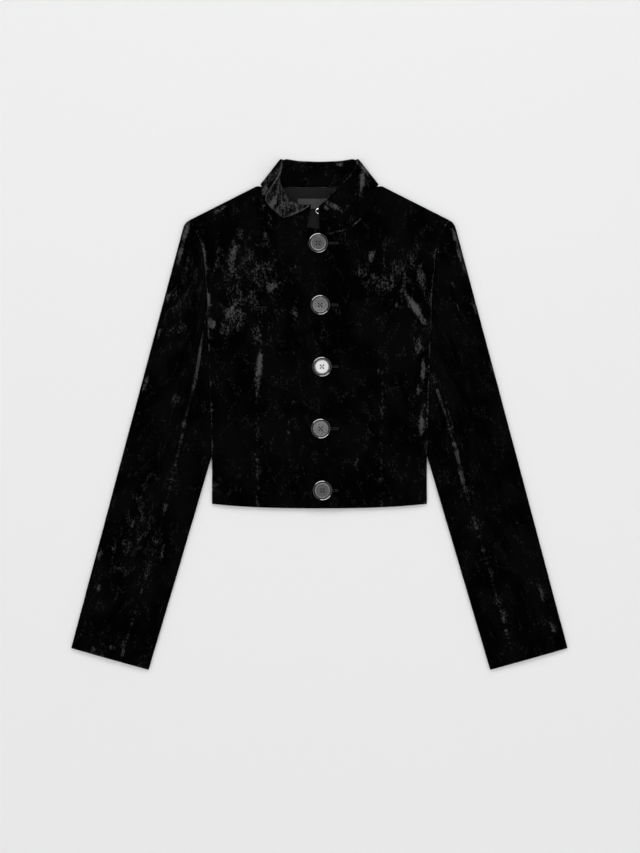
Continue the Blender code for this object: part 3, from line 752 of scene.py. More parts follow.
def front_height(x, y):
    """Upper face of the front layer: a level lay, raised over the sleeves and rolled down at the seams."""
    out = np.abs(x)
    over_sleeve = ramp(out, *TUCK_IN) * ramp(y, *TUCK_FOOT) * (1.0 - ramp(y, *TUCK_HEAD))
    height = FRONT_LAY + TUCK_RISE * over_sleeve + fold_height(x, y, FOLDS)
    from_side = np.maximum(body_edge(y) - out, 0.0)
    side_drop = (1.0 - ramp(y, *TUCK_FOOT)) * np.exp(-from_side / SIDE_ROLL)
    height = height + (SEAM_LAY - height) * side_drop
    slope = math.atan2(NECK_Y - SHOULDER_Y, SHOULDER_X - NECK_X)
    below = np.maximum(shoulder_line(out) - y, 0.0) * math.cos(slope)
    return SEAM_LAY + (height - SEAM_LAY) * (1.0 - np.exp(-below / SHOULDER_ROLL))


def top_front_height(x, y):
    """Upper face of the wearer's left front, which lies on the other along the buttons."""
    return front_height(x, y) + (CLOTH + GAP) * (1.0 - ramp(x, *OVERLAP_RAMP))


def dart_groove(share, width, y):
    """Depth of the waist dart's groove across the width of a front."""
    away = (share - DART_SHARE) * width
    fade = 1.0 - ramp(y, DART_TOP - DART_FADE, DART_TOP)
    return DART_DEPTH * np.exp(-((away / DART_WIDTH) ** 2)) * fade


def crushed_faces(outer, inner, uv, depth, seed):
    """Outer points moved towards the inner ones where the pile is crushed, by up to depth."""
    thick = outer - inner
    unit = thick / np.linalg.norm(thick, axis=2, keepdims=True)
    down = depth * crush(uv[..., 0], uv[..., 1], seed)
    return outer - unit * down[..., None]


def seam_highlight(distance, uv, seed):
    """Painted highlight along a seam: strongest on the line and broken up along it."""
    width, length = SEAM_BREAK_SIZE
    broken = ramp(cloud(uv[..., 0] / width, uv[..., 1] / length, seed), *SEAM_BREAKS)
    return SEAM_HIGHLIGHT * np.exp(-distance / SEAM_HIGHLIGHT_WIDTH) * broken


def make_front(node, side, height_at, cut, material):
    """One front: columns from the front edge to the side, rows from the hem to the neck and shoulder."""
    seed = SEEDS[node]
    rows, columns = FRONT_GRID
    corner = (NECK_X + OVERLAP) / (SHOULDER_X + OVERLAP)
    edge = CLOTH / 2.0
    share = edged(columns, edge / SHOULDER_X, edge / SHOULDER_X)
    share[np.argmin(np.abs(share - corner))] = corner
    share = share[None, :]
    way = edged(rows, edge / (SHOULDER_Y - HEM_Y), edge / (SHOULDER_Y - HEM_Y))[:, None]
    width = body_edge(HEM_SIDE_Y + way * (SHOULDER_Y - HEM_SIDE_Y)) + OVERLAP
    out = share * width - OVERLAP
    top_out = out[-1:, :]
    top = np.where(top_out < NECK_X, smooth(NECK_LINE, top_out), shoulder_line(top_out))
    low = hem_line(out[:1, :])
    y = low + way * (top - low)
    x = side * out
    clear_of_overlap = ramp(out, *OVERLAP_RAMP)
    creases = fold_height(x, y, FRONT_CREASES) * clear_of_overlap
    upper = height_at(x, y) - dart_groove(share, width, y) + creases
    uv = points(x, y, 0.0)[..., :2]
    inner = points(x, y, upper - CLOTH)
    outer = crushed_faces(points(x, y, upper), inner, uv, cut.crush_depth, seed)
    # Painted sheen where the nap is laid over
    nap = np.maximum(NAP_SHEEN_REST["body"], laid_nap_sheen(x, y, FRONT_NAP_SHEEN))
    above_dart = ramp(y, DART_TOP - DART_HIGHLIGHT_END, DART_TOP)
    dart_away = np.abs(share - DART_SHARE) * width + DART_HIGHLIGHT_CLEAR * above_dart
    # Painted highlights along the side edge and the dart
    nap = nap + seam_highlight(np.minimum((1.0 - share) * width, dart_away), uv, seed)
    return put_cloth("velvet_" + node, node, outer, inner, uv, nap, material)


def make_back(cut, material):
    """The flat back panel: an even grid between the hem and the shoulder line."""
    rows, columns = BACK_GRID
    edge = CLOTH / 2.0
    share = 2.0 * edged(columns, edge / SHOULDER_X / 2.0, edge / SHOULDER_X / 2.0) - 1.0
    corner = NECK_X / SHOULDER_X
    for place in (-corner, corner):
        share[np.argmin(np.abs(share - place))] = place
    share = share[None, :]
    way = edged(rows, edge / (SHOULDER_Y - HEM_Y), edge / (SHOULDER_Y - HEM_Y))[:, None]
    level = HEM_SIDE_Y + way * (SHOULDER_Y - HEM_SIDE_Y)
    width = body_edge(level) + ARMHOLE_REACH * ramp(level, *ARMHOLE_FOOT)
    x = share * width
    top_out = np.abs(x[-1:, :])
    top = np.minimum(shoulder_line(top_out), back_neck_line(top_out) + BACK_SEAM_REACH)
    low = hem_line(x[:1, :]) + BACK_HEM_SHORT
    y = low + way * (top - low)
    uv = points(x, y, 0.0)[..., :2] + BACK_TEXTURE
    outer = points(x, y, CLOTH)
    inner = points(x, y, 0.0)
    outer = crushed_faces(outer, inner, uv, cut.crush_depth, SEEDS["back"])
    # Painted sheen where the nap is laid over, from the fronts' table mirrored
    nap = np.maximum(NAP_SHEEN_REST["body"], laid_nap_sheen(-x, y, FRONT_NAP_SHEEN))
    return put_cloth("velvet_back", "back", outer, inner, uv, nap, material)


def sleeve_width_ends(length):
    """Outer and inner edge of a sleeve, across from its middle line, at a length up from the cuff."""
    half = CUFF_HALF + SLEEVE_FLARE * length
    return -half, half


def sleeve_plan(side, length, share):
    """Place on the table of a point at a length up the sleeve and a share of its width from outside."""
    tilt = math.radians(SLEEVE_TILT)
    outer, inner = sleeve_width_ends(length)
    across = outer + share * (inner - outer)
    x = CUFF_X - length * math.sin(tilt) - across * math.cos(tilt)
    y = CUFF_Y + length * math.cos(tilt) - across * math.sin(tilt)
    return side * x, y


def sleeve_length_table():
    """Length from cuff to armhole at even shares of the width: where the sleeve meets the body's edge."""
    share = np.linspace(0.0, 1.0, SLEEVE_SHARES)
    ladder = np.linspace(*ARMHOLE_LENGTHS)
    x, y = sleeve_plan(1.0, ladder, np.minimum(share, UNDERARM_SHARE)[:, None])
    length = ladder[np.argmax(x - smooth(SIDE_LINE, y) < SEAM_CLEAR, axis=-1)]
    corner = np.clip(1.0 - share / CAP_CORNER_SHARE, 0.0, 1.0)
    length = np.where(share < CAP_CORNER_SHARE, CAP_TIP - CAP_CORNER_DROP * corner**2, length)
    tucked = np.clip((share - UNDERARM_SHARE) / (1.0 - UNDERARM_SHARE), 0.0, 1.0)
    hidden = UNDERARM_TOP + (length - UNDERARM_TOP) * (1.0 - tucked) ** 2
    return share, np.where(share > UNDERARM_SHARE, hidden, length)


SLEEVE_LENGTHS = sleeve_length_table()


def sleeve_length(share):
    """Length of the sleeve from cuff to armhole at a share of its width, read between the table's rows."""
    return np.interp(share, *SLEEVE_LENGTHS)


def sleeve_tuck(x, y):
    """How far a point of the sleeve is tucked in beside or under the body's edge, from 0 to 1."""
    outside = np.abs(x) - smooth(SIDE_LINE, y)
    return (1.0 - ramp(outside, *TUCK_SPREAD)) * (1.0 - ramp(y, *CAP_BLEND))


def sleeve_face(side, way, share, upper):
    """Outer and inner points on the sleeve's upper or lower face."""
    x, y = sleeve_plan(side, way * sleeve_length(share), share)
    tuck = sleeve_tuck(x, y)
    low = TUCKED_LIFT * tuck
    loose = SLEEVE_EDGE + SLEEVE_CROWN * np.sin(math.pi * share)
    high = low + loose + (TUCKED_SLEEVE - loose) * tuck
    if upper:
        high = high + fold_height(x, y, SLEEVE_CREASES) * (1.0 - tuck)
        return points(x, y, high), points(x, y, high - CLOTH)
    return points(x, y, low), points(x, y, low + CLOTH)


def sleeve_fold(side, way, at_inner_edge):
    """Outer and inner points round the sleeve's folded edge, from the upper face to the lower."""
    edge_share = np.full_like(way, 1.0 if at_inner_edge else 0.0)
    length = way * sleeve_length(edge_share)
    x, y = sleeve_plan(side, length, edge_share)
    tuck = sleeve_tuck(x, y)
    low = TUCKED_LIFT * tuck
    radius = (SLEEVE_EDGE + (TUCKED_SLEEVE - SLEEVE_EDGE) * tuck) / 2.0
    outer_edge, inner_edge = sleeve_width_ends(length)
    width = inner_edge - outer_edge
    angle = np.radians(np.linspace(*SLEEVE_FOLD_ANGLES))[None, :]
    grids = []
    for reach in (radius, radius - CLOTH):
        inset = (radius - reach * np.cos(angle)) / width
        share = 1.0 - inset if at_inner_edge else inset
        x, y = sleeve_plan(side, way * sleeve_length(share), share)
        grids.append(points(x, y, low + radius + reach * np.sin(angle)))
    return grids


def make_sleeve(name, side, cut, material):
    """The two pieces of a sleeve: one folds round the outer edge, the other round the inner edge."""
    seed = SEEDS[name]
    edge = CLOTH / 2.0
    way = edged(SLEEVE_ROWS, edge / CAP_TIP, edge / CAP_TIP)[:, None]
    front_seam = smooth(FRONT_SEAM[name], way)
    fold_inset = SLEEVE_EDGE / 2.0 / (2.0 * CUFF_HALF)
    half_gap = GAP / (2.0 * CUFF_HALF)
    ends = {
        "top": (front_seam - half_gap, fold_inset, BACK_SEAM_SHARE - half_gap),
        "under": (front_seam + half_gap, 1.0 - fold_inset, BACK_SEAM_SHARE + half_gap),
    }
    made = []
    for part, (start, fold, end) in ends.items():
        above, below = SLEEVE_COLUMNS[part]
        seam_edge = edge / (CUFF_HALF * 2.0)
        first = edged(above, seam_edge, 0.0)[None, :]
        last = edged(below, 0.0, seam_edge)[None, :]
        strips = (
            sleeve_face(side, way, start + (fold - start) * first, True),
            sleeve_fold(side, way, part == "under"),
            sleeve_face(side, way, fold + (end - fold) * last, False),
        )
        outer = np.concatenate([strip[0] for strip in strips], axis=1)
        inner = np.concatenate([strip[1] for strip in strips], axis=1)
        middle = (outer + inner) / 2.0
        across = runs(middle, 1)
        uv = points(across, runs(middle, 0), 0.0)[..., :2] + SLEEVE_TEXTURE * seed
        outer = crushed_faces(outer, inner, uv, cut.crush_depth, seed)
        x = middle[..., 0]
        y = middle[..., 1]
        # Painted sheen where the nap is laid over
        nap = np.maximum(NAP_SHEEN_REST["sleeve"], laid_nap_sheen(x, y, SLEEVE_NAP_SHEEN))
        ends_away = np.minimum(across, np.take(across, [-1], 1) - across)
        # Painted highlights along the seams and the cuff
        nap = nap + seam_highlight(np.minimum(ends_away, way * CAP_TIP), uv, seed)
        piece = "_".join(("sleeve", name, part))
        made.append(put_cloth("velvet_" + piece, piece, outer, inner, uv, nap, material))
    return made


def collar_section(seam, heading, side, stand, leaf, turn, rise):
    """Middle line of the collar from its seam: a straight stand, a roll that turns out, a straight leaf."""
    roll = math.pi * COLLAR_ROLL
    stand_at = np.linspace(0.0, stand, COLLAR_STAND_POINTS)
    roll_at = np.linspace(0.0, roll, COLLAR_ROLL_POINTS + 1)[1:]
    leaf_at = np.linspace(0.0, leaf, COLLAR_LEAF_POINTS + 1)[1:]
    turned = math.radians(max(turn, COLLAR_LEAST_TURN))
    bend = roll / turned
    roll_forward = bend * np.sin(roll_at / bend)
    roll_up = bend * (1.0 - np.cos(roll_at / bend))
    leaf_forward = roll_forward[-1] + leaf_at * math.cos(turned)
    leaf_up = roll_up[-1] + leaf_at * math.sin(turned)
    forward = np.concatenate([stand_at, stand + roll_forward, stand + leaf_forward])
    slope = rise * np.clip(forward / stand, 0.0, None)
    up = slope + np.concatenate([np.zeros(COLLAR_STAND_POINTS), roll_up, leaf_up])
    angle = math.radians(heading)
    x = seam[0] - side * math.sin(angle) * forward
    y = seam[1] + math.cos(angle) * forward
    return points(x, y, seam[2] + up)


def front_collar(table, side, height_at):
    """Collar sections along one front's neck seam, from the front edge to the side of the neck."""
    sections = []
    for out, heading, stand, leaf, turn, rise in table:
        step = COLLAR_SLOPE_STEP
        slope = (smooth(NECK_LINE, out + step) - smooth(NECK_LINE, out - step)) / (2.0 * step)
        y = smooth(NECK_LINE, out)
        away = COLLAR_CLEAR / math.hypot(1.0, slope)
        seam_x = side * (out - slope * away)
        seam_y = y + away
        seam_z = float(height_at(side * out, y)) - COLLAR_SEAM_DROP
        sections.append(collar_section((seam_x, seam_y, seam_z), heading, side, stand, leaf, turn, rise))
    return sections


def side_fold(side):
    """Collar sections round the fold at the side of the neck, from the front layer down to the back layer."""
    seam = np.array(SIDE_FOLD_SEAM)
    line = np.array(SIDE_FOLD_TOP) - seam
    outward = np.array([line[1], -line[0]]) / np.linalg.norm(line)
    way = np.linspace(0.0, 1.0, COLLAR_POINTS)
    radius = SIDE_FOLD_RADII[0] + (SIDE_FOLD_RADII[1] - SIDE_FOLD_RADII[0]) * way
    sections = []
    for angle in np.radians(SIDE_FOLD_ANGLES):
        reach = radius * (math.cos(angle) - 1.0) - COLLAR_CLOTH / 2.0
        longer = 1.0 + SIDE_FOLD_BACK_RISE * (1.0 - math.sin(angle)) / 2.0
        place = seam + longer * way[:, None] * line + reach[:, None] * outward
        z = COLLAR_CLOTH / 2.0 + radius * (1.0 + math.sin(angle))
        sections.append(points(side * place[:, 0], place[:, 1], z))
    return sections


def back_collar(side):
    """Collar sections along the back neck seam, flat on the table, from the side towards the centre."""
    sections = []
    for out, heading, stand, leaf in COLLAR_BACK:
        seam = (side * out, BACK_NECK_Y + COLLAR_CLEAR, COLLAR_CLOTH / 2.0)
        sections.append(collar_section(seam, heading, side, stand, leaf, 0.0, 0.0))
    return sections


def halve_steps(grid, axis):
    """Adds a row midway between each two along an axis, on the cubic curve through their neighbours."""
    rows = np.moveaxis(grid, axis, 0)
    before = np.concatenate([rows[:1], rows[:-2]])
    after = np.concatenate([rows[2:], rows[-1:]])
    dense = np.empty((2 * len(rows) - 1, *rows.shape[1:]))
    dense[0::2] = rows
    dense[1::2] = (9.0 * (rows[:-1] + rows[1:]) - before - after) / 16.0
    return np.moveaxis(dense, 0, axis)


def make_collar(cut, material):
    """The collar as one band, from its left front edge round the back to its right front edge."""
    left = front_collar(COLLAR_LEFT, 1.0, top_front_height) + side_fold(1.0) + back_collar(1.0)
    right = front_collar(COLLAR_RIGHT, -1.0, front_height) + side_fold(-1.0) + back_collar(-1.0)
    middle = np.array(left + right[-2::-1])
    turned = np.zeros(middle.shape[:2] + (1,))
    turned[-len(COLLAR_RIGHT) :, COLLAR_STAND_POINTS + 1 :] = 1.0
    for axis, times in enumerate(COLLAR_FINER):
        for _ in range(times):
            middle = halve_steps(middle, axis)
            turned = halve_steps(turned, axis)
    middle[..., 2] = np.maximum(middle[..., 2], COLLAR_CLOTH / 2.0)
    normal = np.cross(np.gradient(middle, axis=0), np.gradient(middle, axis=1))
    normal /= np.linalg.norm(normal, axis=2, keepdims=True)
    half = normal * COLLAR_CLOTH / 2.0
    uv = middle[..., :2] + COLLAR_TEXTURE
    outer = crushed_faces(middle + half, middle - half, uv, cut.crush_depth, SEEDS["collar"])
    leaf = np.clip(turned[..., 0], 0.0, 1.0)
    # Painted sheen where the nap is laid over, and more of it on the turned leaf
    nap = np.maximum(NAP_SHEEN_REST["collar"], laid_nap_sheen(middle[..., 0], middle[..., 1], COLLAR_NAP_SHEEN))
    nap = nap + (NAP_SHEEN_REST["leaf"] - NAP_SHEEN_REST["collar"]) * leaf
    along = runs(middle, 1)
    # Painted highlight along the collar's outer edge
    nap = nap + seam_highlight(np.take(along, [-1], 1) - along, uv, SEEDS["collar"])
    return put_cloth("velvet_collar", "collar", outer, middle - half, uv, nap, material)


def make_facing(material):
    """The strip of lining inside the back of the neck, with a bowed lower edge."""
    rows, columns = FACING_GRID
    x = np.linspace(-FACING_HALF, FACING_HALF, columns)[None, :]
    way = np.linspace(0.0, 1.0, rows)[:, None]
    low = FACING_LOW + FACING_BOW * (x / FACING_HALF) ** 2
    y = low + way * (BACK_NECK_Y - GAP - low)
    base = CLOTH + GAP
    outer = points(x, y, base + FACING_CLOTH)
    inner = points(x, y, base)
    uv = outer[..., :2]
    nap = np.zeros(outer.shape[:2])
    return put_cloth("neck_lining", "back_neck_facing", outer, inner, uv, nap, material)


def make_label(material, thread):
    """The blank label, a flat strip whose turned-in ends stand a little higher, and its row of stitches."""
    low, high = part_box("neck_label")
    rows, columns = LABEL_GRID
    x = np.linspace(low[0], high[0], columns)[None, :]
    y = np.linspace(low[1], high[1], rows)[:, None]
    end = np.minimum(x - low[0], high[0] - x)
    z = high[2] - LABEL_TURN_RISE * ramp(end, LABEL_TURN_IN, LABEL_TURN_END)
    outer = points(x, y, z)
    inner = points(x, y, low[2])
    nap = np.zeros(outer.shape[:2])
    uv = outer[..., :2]
    made = put_cloth("label_cloth", "neck_label", outer, inner, uv, nap, material)
    along = np.linspace(0.0, 1.0, LABEL_STITCH_POINTS)
    stitch_y = high[1] - LABEL_STITCH_INSET
    stitch_z = high[2] + THREAD * np.sin(math.pi * along)
    starts = np.arange(low[0] + LABEL_STITCH, high[0] - LABEL_STITCH, 2.0 * LABEL_STITCH)
    paths = [points(start + LABEL_STITCH * along, stitch_y, stitch_z) for start in starts]
    radii = [THREAD / 2.0] * len(paths)
    stitches = put_tubes("label_stitches", paths, radii, STITCH_SIDES, thread, False)
    return made


def button_plate():
    """A quarter of a button's plate: loops from its lower border through a sewing hole to its upper border.

    The border runs round the plate's edge, in along one axis and out along the other, and each loop is a
    blend of the border and the hole's circle.
    """
    around = np.linspace(0.0, math.pi / 2.0, BUTTON_SIDES // 4 + 1)[:-1]
    inward = np.linspace(BUTTON_PLATE, 0.0, BUTTON_PLATE_STEPS + 1)[:-1]
    level = np.zeros_like(inward)
    x = np.concatenate([BUTTON_PLATE * np.cos(around), level, BUTTON_PLATE - inward])[::-1, None]
    y = np.concatenate([BUTTON_PLATE * np.sin(around), inward, level])[::-1, None]
    away = np.hypot(x - BUTTON_HOLE_PLACE, y - BUTTON_HOLE_PLACE)
    share = 1.0 - BUTTON_HOLE_RADIUS / away
    way = np.linspace(0.0, 1.0, BUTTON_PLATE_RINGS)
    way = np.concatenate([way, way[::-1]])[None, :]
    height = np.repeat([0.0, BUTTON_FACE], BUTTON_PLATE_RINGS)[None, :]
    x = x + way * share * (BUTTON_HOLE_PLACE - x)
    y = y + way * share * (BUTTON_HOLE_PLACE - y)
    return points(x, y, height)


def button_form():
    """Corners and faces of one button: its profile spun about Z and its plate's four quarters, joined."""
    angle = np.linspace(0.0, 2.0 * math.pi, BUTTON_SIDES, endpoint=False)[:, None]
    radius, height = np.array(BUTTON_PROFILE).T
    grids = [points(radius * np.cos(angle), radius * np.sin(angle), height)]
    plate = button_plate()
    for _ in range(4):
        grids.append(plate)
        plate = points(-plate[..., 1], plate[..., 0], plate[..., 2])
    corners = []
    quads = []
    count = 0
    for grid in grids:
        index = count + np.arange(grid.shape[0] * grid.shape[1]).reshape(grid.shape[:2])
        after = np.roll(index, -1, axis=0)
        quad = np.stack([index[:, :-1], after[:, :-1], after[:, 1:], index[:, 1:]], axis=-1)
        quads.append(quad.reshape(-1, 4))
        corners.append(grid.reshape(-1, 3))
        count += index.size
    corners = np.round(np.concatenate(corners), BUTTON_MERGE_DIGITS) + 0.0
    corners, shared = np.unique(corners, axis=0, return_inverse=True)
    return corners, shared.reshape(-1)[np.concatenate(quads)]


def make_buttons(metal, thread):
    """Five turned buttons on their nodes' places, and the crossed thread in each."""
    form, quads = button_form()
    rim = ramp(np.hypot(form[:, 0], form[:, 1]), *BUTTON_RIM).astype(np.float32)
    way = np.linspace(-1.0, 1.0, THREAD_POINTS)
    dip = THREAD_DIP * ramp(np.abs(way), THREAD_DIP_SHARE, 1.0)
    rise = BUTTON_FACE + THREAD_ARCH * (1.0 - way**4) - dip
    paths = []
    for node in BUTTON_NODES:
        low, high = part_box(node)
        place = np.array([(low[0] + high[0]) / 2.0, (low[1] + high[1]) / 2.0, low[2]])
        piece = put_mesh("turned_" + node, form + place, [quads], metal)
        piece.data.set_sharp_from_angle(angle=math.radians(BUTTON_SHARP))
        piece.data.attributes.new("rim", "FLOAT", "POINT").data.foreach_set("value", rim)
        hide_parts(node)
        for lean in (1.0, -1.0):
            for aside in THREAD_STRANDS:
                x = THREAD_REACH * way + aside * lean
                y = THREAD_REACH * way * lean - aside
                paths.append(points(x, y, rise + THREAD * (lean + 1.0)) + place)
    piece = put_tubes("button_thread", paths, [THREAD] * len(paths), THREAD_SIDES, thread, False)
    return piece


def make_buttonholes(thread):
    """Stitched buttonholes: a bead round a long oval, ridged by its stitches and thin under the button."""
    paths = []
    radii = []
    way = np.linspace(0.0, 1.0, BUTTONHOLE_POINTS, endpoint=False)
    for node in BUTTON_NODES:
        low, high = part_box(node)
        middle = (low[0] + high[0]) / 2.0
        reach = (high[0] - low[0]) / 2.0
        left = middle + BUTTONHOLE_LEFT
        straight = BUTTONHOLE_RIGHT - left - 2.0 * BUTTONHOLE_HALF
        turn = math.pi * BUTTONHOLE_HALF
        run = way * 2.0 * (straight + turn)
        start_x = left + BUTTONHOLE_HALF
        end_x = BUTTONHOLE_RIGHT - BUTTONHOLE_HALF
        right_angle = (run - straight) / BUTTONHOLE_HALF - math.pi / 2.0
        left_angle = (run - 2.0 * straight - turn) / BUTTONHOLE_HALF + math.pi / 2.0
        legs = [run < straight, run < straight + turn, run < 2.0 * straight + turn]
        x = np.select(
            legs,
            [start_x + run, end_x + BUTTONHOLE_HALF * np.cos(right_angle), end_x - (run - straight - turn)],
            start_x + BUTTONHOLE_HALF * np.cos(left_angle),
        )
        y = np.select(
            legs,
            [-BUTTONHOLE_HALF, BUTTONHOLE_HALF * np.sin(right_angle), BUTTONHOLE_HALF],
            BUTTONHOLE_HALF * np.sin(left_angle),
        )
        y = y + (low[1] + high[1]) / 2.0
        shown = ramp((x - middle) / reach, *BUTTONHOLE_SHOWN)
        bead = BUTTONHOLE_HIDDEN_BEAD + (BUTTONHOLE_BEAD - BUTTONHOLE_HIDDEN_BEAD) * shown
        radii.append(bead * (1.0 + BUTTONHOLE_RIDGE * np.sin(2.0 * math.pi * run / BUTTONHOLE_STITCH)))
        paths.append(points(x, y, top_front_height(x, y)))
    piece = put_tubes("buttonhole_stitches", paths, radii, BUTTONHOLE_SIDES, thread, True)
    return piece


def make_eye(metal):
    """The bent wire eye at the collar's front edge: a tube round half an oval inside its node's box."""
    low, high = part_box("collar_eye")
    angle = np.linspace(math.pi / 2.0, 3.0 * math.pi / 2.0, EYE_POINTS)
    reach_x = high[0] - low[0] - EYE_WIRE
    reach_y = (high[1] - low[1]) / 2.0 - EYE_WIRE
    x = high[0] + reach_x * np.cos(angle)
    y = (low[1] + high[1]) / 2.0 + reach_y * np.sin(angle)
    path = points(x, y, (low[2] + high[2]) / 2.0)
    piece = put_tubes("wire_eye", [path], [EYE_WIRE], EYE_SIDES, metal, False)
    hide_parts("collar_eye")
    return piece


def add_node(tree, kind, inputs=None, **settings):
    """A shader node with its settings, and its inputs set to values or linked to sockets."""
    made = tree.nodes.new(kind)
    for key, value in settings.items():
        setattr(made, key, value)
    for key, value in (inputs or {}).items():
        if isinstance(value, bpy.types.NodeSocket):
            tree.links.new(value, made.inputs[key])
        else:
            made.inputs[key].default_value = value
    return made


def maths(tree, operation, first, second):
    """One sum, product or other step on two values."""
    return add_node(tree, "ShaderNodeMath", {0: first, 1: second}, operation=operation).outputs[0]


def feed(tree, node, sockets):
    """Links sockets to a node's inputs of the given names."""
    for key, socket in sockets.items():
        tree.links.new(socket, node.inputs[key])


def rgba(colour, factor=1.0):
    """A colour with its parts multiplied by a factor, and full alpha."""
    return (*[factor * part for part in colour], 1.0)


def new_group(name, inputs, outputs):
    """An empty shader node group with named sockets, and its two end nodes."""
    group = bpy.data.node_groups.new(name, "ShaderNodeTree")
    for in_out, sockets in (("INPUT", inputs), ("OUTPUT", outputs)):
        for socket, kind in sockets.items():
            group.interface.new_socket(socket, in_out=in_out, socket_type="NodeSocket" + kind)
    return group, group.nodes.new("NodeGroupInput"), group.nodes.new("NodeGroupOutput")


def noise(tree, vector, scale, detail, roughness, distortion, dimensions="2D"):
    """Noise on a cloth's own two directions, or on three."""
    inputs = {"Vector": vector, "Scale": scale, "Detail": detail, "Roughness": roughness}
    inputs["Distortion"] = distortion
    return add_node(tree, "ShaderNodeTexNoise", inputs, noise_dimensions=dimensions).outputs["Fac"]


def spread(tree, value, low, high):
    """A soft step of a value from 0 at low to 1 at high, both values or sockets."""
    inputs = {"Value": value, "From Min": low, "From Max": high}
    return add_node(tree, "ShaderNodeMapRange", inputs, interpolation_type="SMOOTHSTEP").outputs["Result"]


def between(tree, value, low, high):
    """A value that goes from low to high as another goes from 0 to 1."""
    inputs = {"Value": value, "To Min": low, "To Max": high}
    return add_node(tree, "ShaderNodeMapRange", inputs).outputs["Result"]


def weighed(tree, layers, shares):
    """Sum of named values, each multiplied by its share."""
    total = 0.0
    for name, share in shares.items():
        total = maths(tree, "ADD", total, maths(tree, "MULTIPLY", layers[name], share))
    return total


def blend(tree, factor, first, second):
    """A colour between two, each a socket or a colour; a mix node's colour sockets are its 6th and 7th."""
    return add_node(tree, "ShaderNodeMix", {0: factor, 6: first, 7: second}, data_type="RGBA").outputs[2]


def crushed_pile_group():
    """Crushed pile: specks of three sizes rise above a limit that falls as the nap is laid over.

    Where they do, the pile turns grey with painted sheen and smoother; elsewhere it stays black, in slow
    changes of tone.
    """
    group, start, end = new_group(
        "crushed_pile",
        {"Place": "Vector", "Nap": "Float", "Black": "Color", "Standing": "Color", "Crushed": "Color"},
        {"Colour": "Color", "Roughness": "Float", "Height": "Float"},
    )
    place = start.outputs["Place"]
    drawn = add_node(group, "ShaderNodeVectorMath", {0: place, 1: PILE_DRAW}, operation="MULTIPLY").outputs[0]
    layers = {}
    for name, (*sizes, low, high) in PILE_NOISE.items():
        vector = place if name == "grain" else drawn
        layers[name] = spread(group, noise(group, vector, *sizes), low, high)
    speck = weighed(group, layers, SPECK_SHARES)
    nap = maths(group, "MULTIPLY", start.outputs["Nap"], SPECK_NAP)
    limit = maths(group, "SUBTRACT", SPECK_LIMIT, nap)
    mask = spread(group, speck, limit, maths(group, "ADD", limit, SPECK_SOFT))
    black = blend(group, layers["slow"], start.outputs["Black"], start.outputs["Standing"])
    # Painted sheen: the specks turn the pile the crushed grey
    colour = blend(group, mask, black, start.outputs["Crushed"])
    rough = between(group, mask, *PILE_ROUGHNESS)
    feed(group, end, {"Colour": colour, "Roughness": rough, "Height": weighed(group, layers, PILE_RELIEF)})
    return group


def fine_weave_group():
    """Fine weave: two crossed waves of threads, with a slow change of tone from noise."""
    group, start, end = new_group(
        "fine_weave",
        {"Place": "Vector", "Threads": "Float", "Dark": "Color", "Light": "Color"},
        {"Colour": "Color", "Height": "Float"},
    )
    place = start.outputs["Place"]
    inputs = {"Vector": place, "Scale": start.outputs["Threads"], **WEAVE_WAVES}
    waves = []
    for direction in ("X", "Y"):
        waves.append(add_node(group, "ShaderNodeTexWave", inputs, bands_direction=direction).outputs["Fac"])
    layers = {"threads": maths(group, "MAXIMUM", *waves), "tone": noise(group, place, *WEAVE_NOISE)}
    factor = weighed(group, layers, WEAVE_SHARES)
    colour = blend(group, factor, start.outputs["Dark"], start.outputs["Light"])
    feed(group, end, {"Colour": colour, "Height": layers["threads"]})
    return group


def worn_metal_group():
    """Polished metal with fine rubbing: noise changes its tone and roughness a little."""
    group, start, end = new_group(
        "worn_metal",
        {"Place": "Vector", "Metal": "Color", "Rubbed": "Color"},
        {"Colour": "Color", "Roughness": "Float"},
    )
    rub = noise(group, start.outputs["Place"], *METAL_NOISE, "3D")
    colour = blend(group, rub, start.outputs["Metal"], start.outputs["Rubbed"])
    feed(group, end, {"Colour": colour, "Roughness": between(group, rub, *METAL_ROUGHNESS)})
    return group


def use_group(tree, name, inputs):
    """A node for the shared group of that name, which is built the first time it is asked for."""
    builders = {
        "crushed_pile": crushed_pile_group,
        "fine_weave": fine_weave_group,
        "worn_metal": worn_metal_group,
    }
    group = bpy.data.node_groups.get(name) or builders[name]()
    return add_node(tree, "ShaderNodeGroup", inputs, node_tree=group)


def new_material(name, constants):
    """A material with a principled shader whose plain values are set on its own sockets."""
    made = bpy.data.materials.new(name)
    made.use_nodes = True
    shader = made.node_tree.nodes["Principled BSDF"]
    for socket, value in constants.items():
        shader.inputs[socket].default_value = value
    return made, made.node_tree, shader


def cloth_place(tree):
    """The piece's own UV map."""
    return add_node(tree, "ShaderNodeUVMap", uv_map="cloth").outputs["UV"]


def object_place(tree):
    """The piece's Object coordinates."""
    return add_node(tree, "ShaderNodeTexCoord").outputs["Object"]


def bump(tree, shader, height, strength, distance):
    """A bump from a height to a shader's normal."""
    made = add_node(tree, "ShaderNodeBump", {"Height": height, "Strength": strength, "Distance": distance})
    tree.links.new(made.outputs["Normal"], shader.inputs["Normal"])


